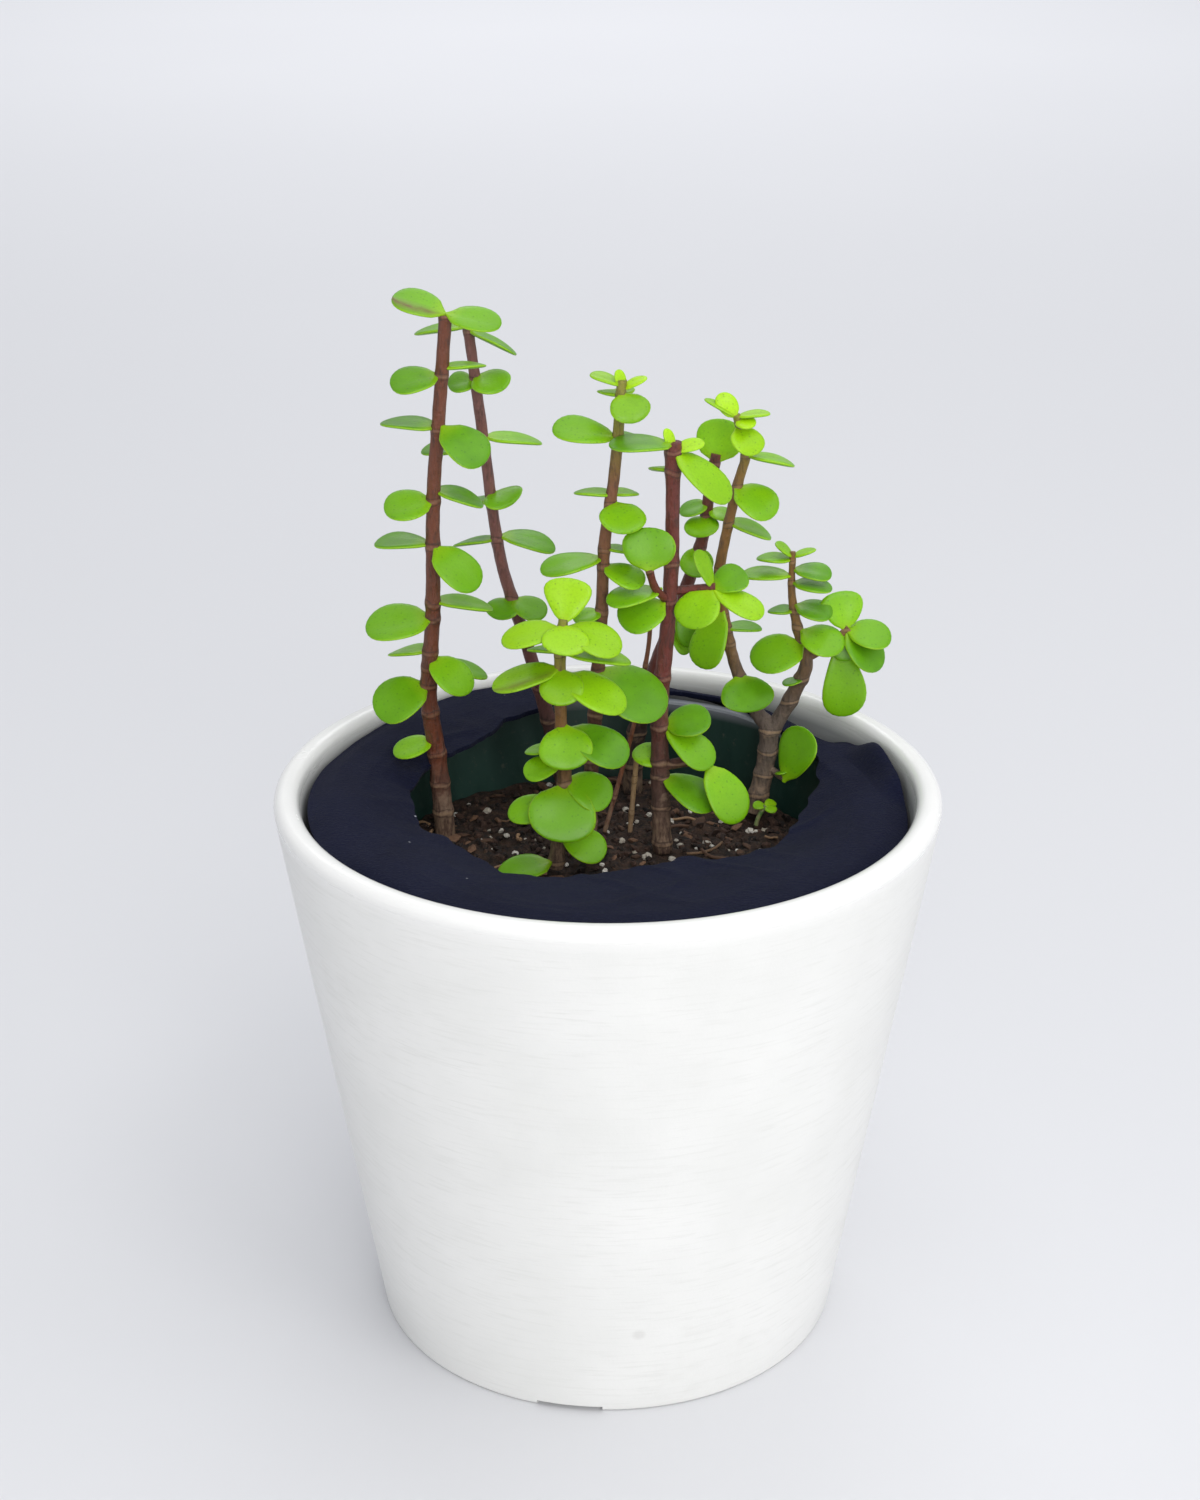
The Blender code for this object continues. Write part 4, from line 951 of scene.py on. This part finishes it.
def fleshy_leaf(whole, layers, row, dice, young, scar, fan):
    """One blade: a ball flattened and widened by rule, rooted at its attachment in mm."""
    x, y, z, right, back, up, width, lean = row
    along = Vector((right, back, up))
    length = along.length
    along.normalize()
    across = Vector((0.0, -lean, 1.0)).cross(along)
    if across.length < 0.2:
        across = Vector((-1.0, 0.0, 0.0))
    across.normalize()
    upper = along.cross(across)
    thickness = LEAF_THICKNESS * min(1.0, 0.4 + width / 24.0)
    tint = dice.random()
    twist = dice.uniform(-LEAF_TWIST, LEAF_TWIST)
    wave = dice.uniform(0.0, 6.0)
    rings = []
    for i in range(LEAF_RINGS + 1):
        theta = math.pi * i / LEAF_RINGS
        share = 0.5 * (1.0 - math.cos(theta))
        ring = math.sin(theta)
        spread = ring * (0.76 + 0.34 * share) * min(1.0, 0.45 + 2.8 * share)
        spread *= 1.0 + fan * (0.75 * share - 0.5)
        body = max(ring, 0.0) ** 0.7
        if share < 0.25:
            body = max(body, LEAF_NECK_BODY)
            spread = max(spread, LEAF_NECK)
        sag = (0.02 - LEAF_SAG * share * share) * length
        line = []
        for k in range(LEAF_SIDES):
            phi = math.tau * k / LEAF_SIDES
            side = math.cos(phi)
            rise = math.copysign(abs(math.sin(phi)) ** 0.8, math.sin(phi))
            wobble = 1.0 + LEAF_WOBBLE * math.sin(3.0 * theta + wave + (2.0 if side > 0 else 0.0))
            cup = LEAF_CUP * width * (side * spread) ** 2 + twist * width * side * spread * share
            crease = -LEAF_CREASE * thickness * max(0.0, rise) * (1.0 - abs(side)) ** 6 * body
            place = along * (length * share) + across * (0.5 * width * side * spread * wobble)
            place += upper * (0.5 * thickness * rise * body + sag + cup + crease)
            vertex = whole.verts.new((Vector((x, y, z)) + place) * MM)
            vertex[layers["along"]] = share
            vertex[layers["edge"]] = max(abs(side), 1.0 - 1.25 * ring)
            vertex[layers["upper"]] = 0.5 + 0.5 * rise
            vertex[layers["tint"]] = tint
            vertex[layers["young"]] = young
            near_margin = max(0.0, 1.0 - abs(side - 0.6) * 2.5)
            vertex[layers["scar"]] = scar * near_margin * min(1.0, 3.0 * share)
            line.append(vertex)
        rings.append(line)
    skin(whole, rings)


def finished_piece(name, whole, finish):
    bmesh.ops.remove_doubles(whole, verts=whole.verts, dist=0.000002)
    bmesh.ops.recalc_face_normals(whole, faces=whole.faces)
    piece = linked(name, whole)
    piece.data.shade_smooth()
    piece.data.materials.append(finish)
    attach(piece, "root")
    return piece


def leafage(name, rows, finish, seed, young_rows, scarred_rows, fan_rows):
    """All of a stem's leaves as one mesh; the layers hold what the finish needs to know."""
    whole = bmesh.new()
    layers = {key: whole.verts.layers.float.new(key)
              for key in ("along", "edge", "upper", "tint", "young", "scar")}
    dice = random.Random(seed)
    for index, row in enumerate(rows):
        young, scar, fan = (own.get(index, 0.0) for own in (young_rows, scarred_rows, fan_rows))
        fleshy_leaf(whole, layers, row, dice, young, scar, fan)
    return finished_piece(name, whole, finish)


def barked_stem(name, routes, joints, finish, sides=20, swell=0.13):
    """Tubes that swell at their joints; 'joint' is 1 on a leaf scar and 0 away from one."""
    whole = bmesh.new()
    joint_layer = whole.verts.layers.float.new("joint")

    def shape(here, out):
        rise = sum(math.exp(-((here.z - height) / 1.5) ** 2) for height in joints)
        bump = noise.noise(Vector((out.x * 1.6 + here.x, out.y * 1.6, here.z * 0.22)))
        return 1.0 + swell * min(rise, 1.0) + 0.07 * bump
    for route in routes:
        add_tube(whole, eased_route(route, 36), sides, shape)
    for vertex in whole.verts:
        height = vertex.co.z / MM
        height += 1.1 * noise.noise(Vector(vertex.co) * 260.0)
        vertex[joint_layer] = min(1.0, sum(math.exp(-((height - at) / 0.6) ** 2) for at in joints))
    return finished_piece(name, whole, finish)


def leaf_finish(name):
    """Fleshy blade: bright upper face, paler underside, thin pale margin, fine dark speckle."""
    finish, shader = new_finish(name, 0.38, Specular_IOR_Level=0.28, Coat_Weight=0.12,
                                Coat_Roughness=0.2, Subsurface_Weight=0.12, Subsurface_Scale=0.0015)
    shader.inputs["Subsurface Radius"].default_value = (0.5, 1.0, 0.15)
    place = object_place(finish)
    mottle = noise_at(place, 130.0, 4.0, 0.6)
    fine = noise_at(place, 1500.0, 2.0, 0.6)
    green = blended(held(finish, "tint"), LEAF_DARK, LEAF_BRIGHT)
    green = tinted(green, LEAF_MATURE, stepped(mottle, 0.35, 0.7), 0.6)
    # Painted shade: the tip is painted a shade deeper, for leaves lit from above. The root is yellower
    # and the margin paler
    green = tinted(green, LEAF_DARK, stepped(held(finish, "along"), 0.45, 1.0), 0.35)
    green = blended(held(finish, "young"), green, LEAF_YOUNG)
    green = tinted(green, LEAF_ROOT, stepped(held(finish, "along"), 0.32, 0.0), 0.55)
    green = tinted(green, LEAF_MARGIN, stepped(held(finish, "edge"), 0.94, 0.99), 0.8)
    green = tinted(green, LEAF_UNDER, stepped(held(finish, "upper"), 0.40, 0.22), 0.75)
    green = tinted(green, LEAF_DARK, stepped(fine, 0.48, 0.68), 0.18)
    green = tinted(green, LEAF_SPECKLE, stepped(cells_at(place, 620.0), 0.22, 0.10), 0.38)
    green = tinted(green, LEAF_SCAR, held(finish, "scar"), stepped(mottle, 0.2, 0.5))
    join(green, shader, "Base Color")
    join(stepped(mottle, -0.75, 2.4), shader, "Roughness")
    bumped(shader, sums("ADD", mottle, times(fine, 0.25)), 0.16, 0.0010)
    return finish


def bark_finish(name, fresh, old, low, high, green_from=NO_GREEN_TIP):
    """Bark: fresh skin above 'high' mm, grey old bark below 'low' mm, tan rings at the joints."""
    finish, shader = new_finish(name, 0.55)
    place = object_place(finish)
    height = height_at(place)
    grain = noise_at(object_place(finish, (1.0, 1.0, 0.25)), 700.0, 5.0, 0.7)
    patches = noise_at(place, 160.0, 4.0, 0.6)
    jitter = sums("ADD", height, times(patches, 0.02))
    aged = stepped(jitter, (high + 10.0) * MM, (low + 10.0) * MM)
    colour = blended(aged, fresh, old)
    # The youngest wood at the tip is still green, and the foot is tan with dust
    tip = stepped(height, green_from * MM, (green_from + 22.0) * MM)
    colour = blended(tip, colour, BARK_TIP)
    foot = times(stepped(jitter, 0.175, 0.163), stepped(grain, 0.62, 0.40))
    colour = tinted(colour, BARK_FOOT, foot, 0.75)
    deeper = tuple(0.45 * c for c in old)
    colour = tinted(colour, deeper, stepped(grain, 0.50, 0.68), 0.75)
    flakes = times(stepped(patches, 0.56, 0.68), aged)
    colour = tinted(colour, BARK_FLAKE, flakes, 0.75)
    # A tan ring at each joint, clearer on old wood, between two dark seams
    joint = held(finish, "joint")
    ring_strength = sums("ADD", times(aged, 0.35), 0.3)
    colour = tinted(colour, BARK_RING, stepped(joint, 0.35, 0.9), ring_strength)
    seam = times(stepped(joint, 0.05, 0.16), stepped(joint, 0.34, 0.22))
    colour = tinted(colour, deeper, seam, 0.7)
    join(colour, shader, "Base Color")
    join(sums("ADD", times(aged, 0.3), 0.42), shader, "Roughness")
    bumped(shader, sums("ADD", grain, times(patches, 0.8)), 0.8, 0.0014)
    return finish


blade_green = leaf_finish("fleshy_green")
# Name, routes, leaves, colours of fresh and old bark, heights where the bark is all old, where it is
# all fresh and where the tip turns green
STEMS = (
    ("stem_a", (STEM_A,), LEAVES_A,
     (0.170, 0.048, 0.022), (0.100, 0.050, 0.034), 158, 176, NO_GREEN_TIP),
    ("stem_b", (STEM_B,), LEAVES_B,
     (0.210, 0.080, 0.070), (0.080, 0.040, 0.034), 165, 190, NO_GREEN_TIP),
    ("stem_c", (STEM_C,), LEAVES_C,
     (0.220, 0.085, 0.035), (0.110, 0.045, 0.028), 175, 240, 262),
    ("stem_d", (STEM_D,) + SHOOTS_D, LEAVES_D,
     (0.165, 0.034, 0.024), (0.095, 0.050, 0.036), 165, 205, NO_GREEN_TIP),
    ("stem_e", (STEM_E,), LEAVES_E,
     (0.150, 0.034, 0.022), (0.060, 0.036, 0.028), 170, 195, NO_GREEN_TIP),
    ("stem_f", (STEM_F,) + SHOOTS_F, LEAVES_F,
     (0.260, 0.125, 0.032), (0.135, 0.100, 0.078), 180, 215, 258),
    ("stem_g", (STEM_G,), LEAVES_G,
     (0.250, 0.120, 0.038), (0.105, 0.060, 0.042), 160, 190, 200),
)
for seed, (stem_name, routes, rows, fresh, old, low, high, green_from) in enumerate(STEMS):
    joints = []
    for height in sorted(set(row[2] for row in rows) | set(BARE_JOINTS[stem_name])):
        if not joints or height - joints[-1] > JOINT_SPACING:
            joints.append(height)
    bark = bark_finish(stem_name + "_bark", fresh, old, low, high, green_from)
    wood = barked_stem(stem_name + "_wood", routes, joints, bark)
    own_rows = (table.get(stem_name, {}) for table in (YOUNG_LEAVES, SCARRED_LEAVES, FAN_LEAVES))
    blades = leafage(stem_name + "_leaves", rows, blade_green, 11 + seed, *own_rows)
    for piece in (wood, blades):
        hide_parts(stem_name)

# Thin shoots: a red leafless one between the middle stems and a short dry one beside it. Both are
# soft stalks under 2 mm thick that stand in the soil.
THIN_SHOOT_RED = ((-1, 28, 146, 0.7), (4, 29, 165, 0.7), (8, 29, 182, 0.7), (12, 29, 205, 0.7),
                  (13, 29, 216, 0.7))
THIN_SHOOT_TAN = ((7, 28, 146, 0.8), (8, 30, 158, 0.8), (9, 31, 170, 0.8))
red_bark = bark_finish("red_shoot_skin", (0.26, 0.10, 0.05), (0.20, 0.08, 0.045), 150, 165)
red_shoot = barked_stem("red_shoot", (THIN_SHOOT_RED,), (158, 172, 188, 202), red_bark, 12, 0.25)
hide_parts("thin_shoot_red")
tan_bark = bark_finish("tan_shoot_skin", (0.48, 0.31, 0.15), (0.36, 0.22, 0.11), 148, 160)
tan_shoot = barked_stem("tan_shoot", (THIN_SHOOT_TAN,), (152, 163), tan_bark, 12, 0.2)
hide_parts("thin_shoot_tan")

# Weed: a clover-like seedling that came up by itself in the potting mix at the right. It has a
# soft green stalk and three small round leaves, made the same way as the stems and leaves above.
WEED_STALK = ((47, 33, 146, 0.7), (48, 34, 149, 0.7), (50, 35, 152, 0.7))
WEED_LEAVES = (
    (50, 35, 151.5, -4, 0, 1, 4, 0.3), (50, 35, 151.5, 3, 3, 1, 4, 0.3),
    (50, 35, 151.5, 3, -3, 0, 4, 0.3),
)
WEED_YOUNG = {0: 0.3, 1: 0.5, 2: 0.2}
weed_skin = bark_finish("weed_skin", (0.14, 0.30, 0.06), (0.16, 0.28, 0.08), 146, 148)
weed_stalk = barked_stem("weed_stalk", (WEED_STALK,), (151,), weed_skin, 10, 0.1)
weed_blades = leafage("weed_leaves", WEED_LEAVES, blade_green, 91, WEED_YOUNG, {}, {})
for piece in (weed_stalk, weed_blades):
    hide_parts("weed_seedling")
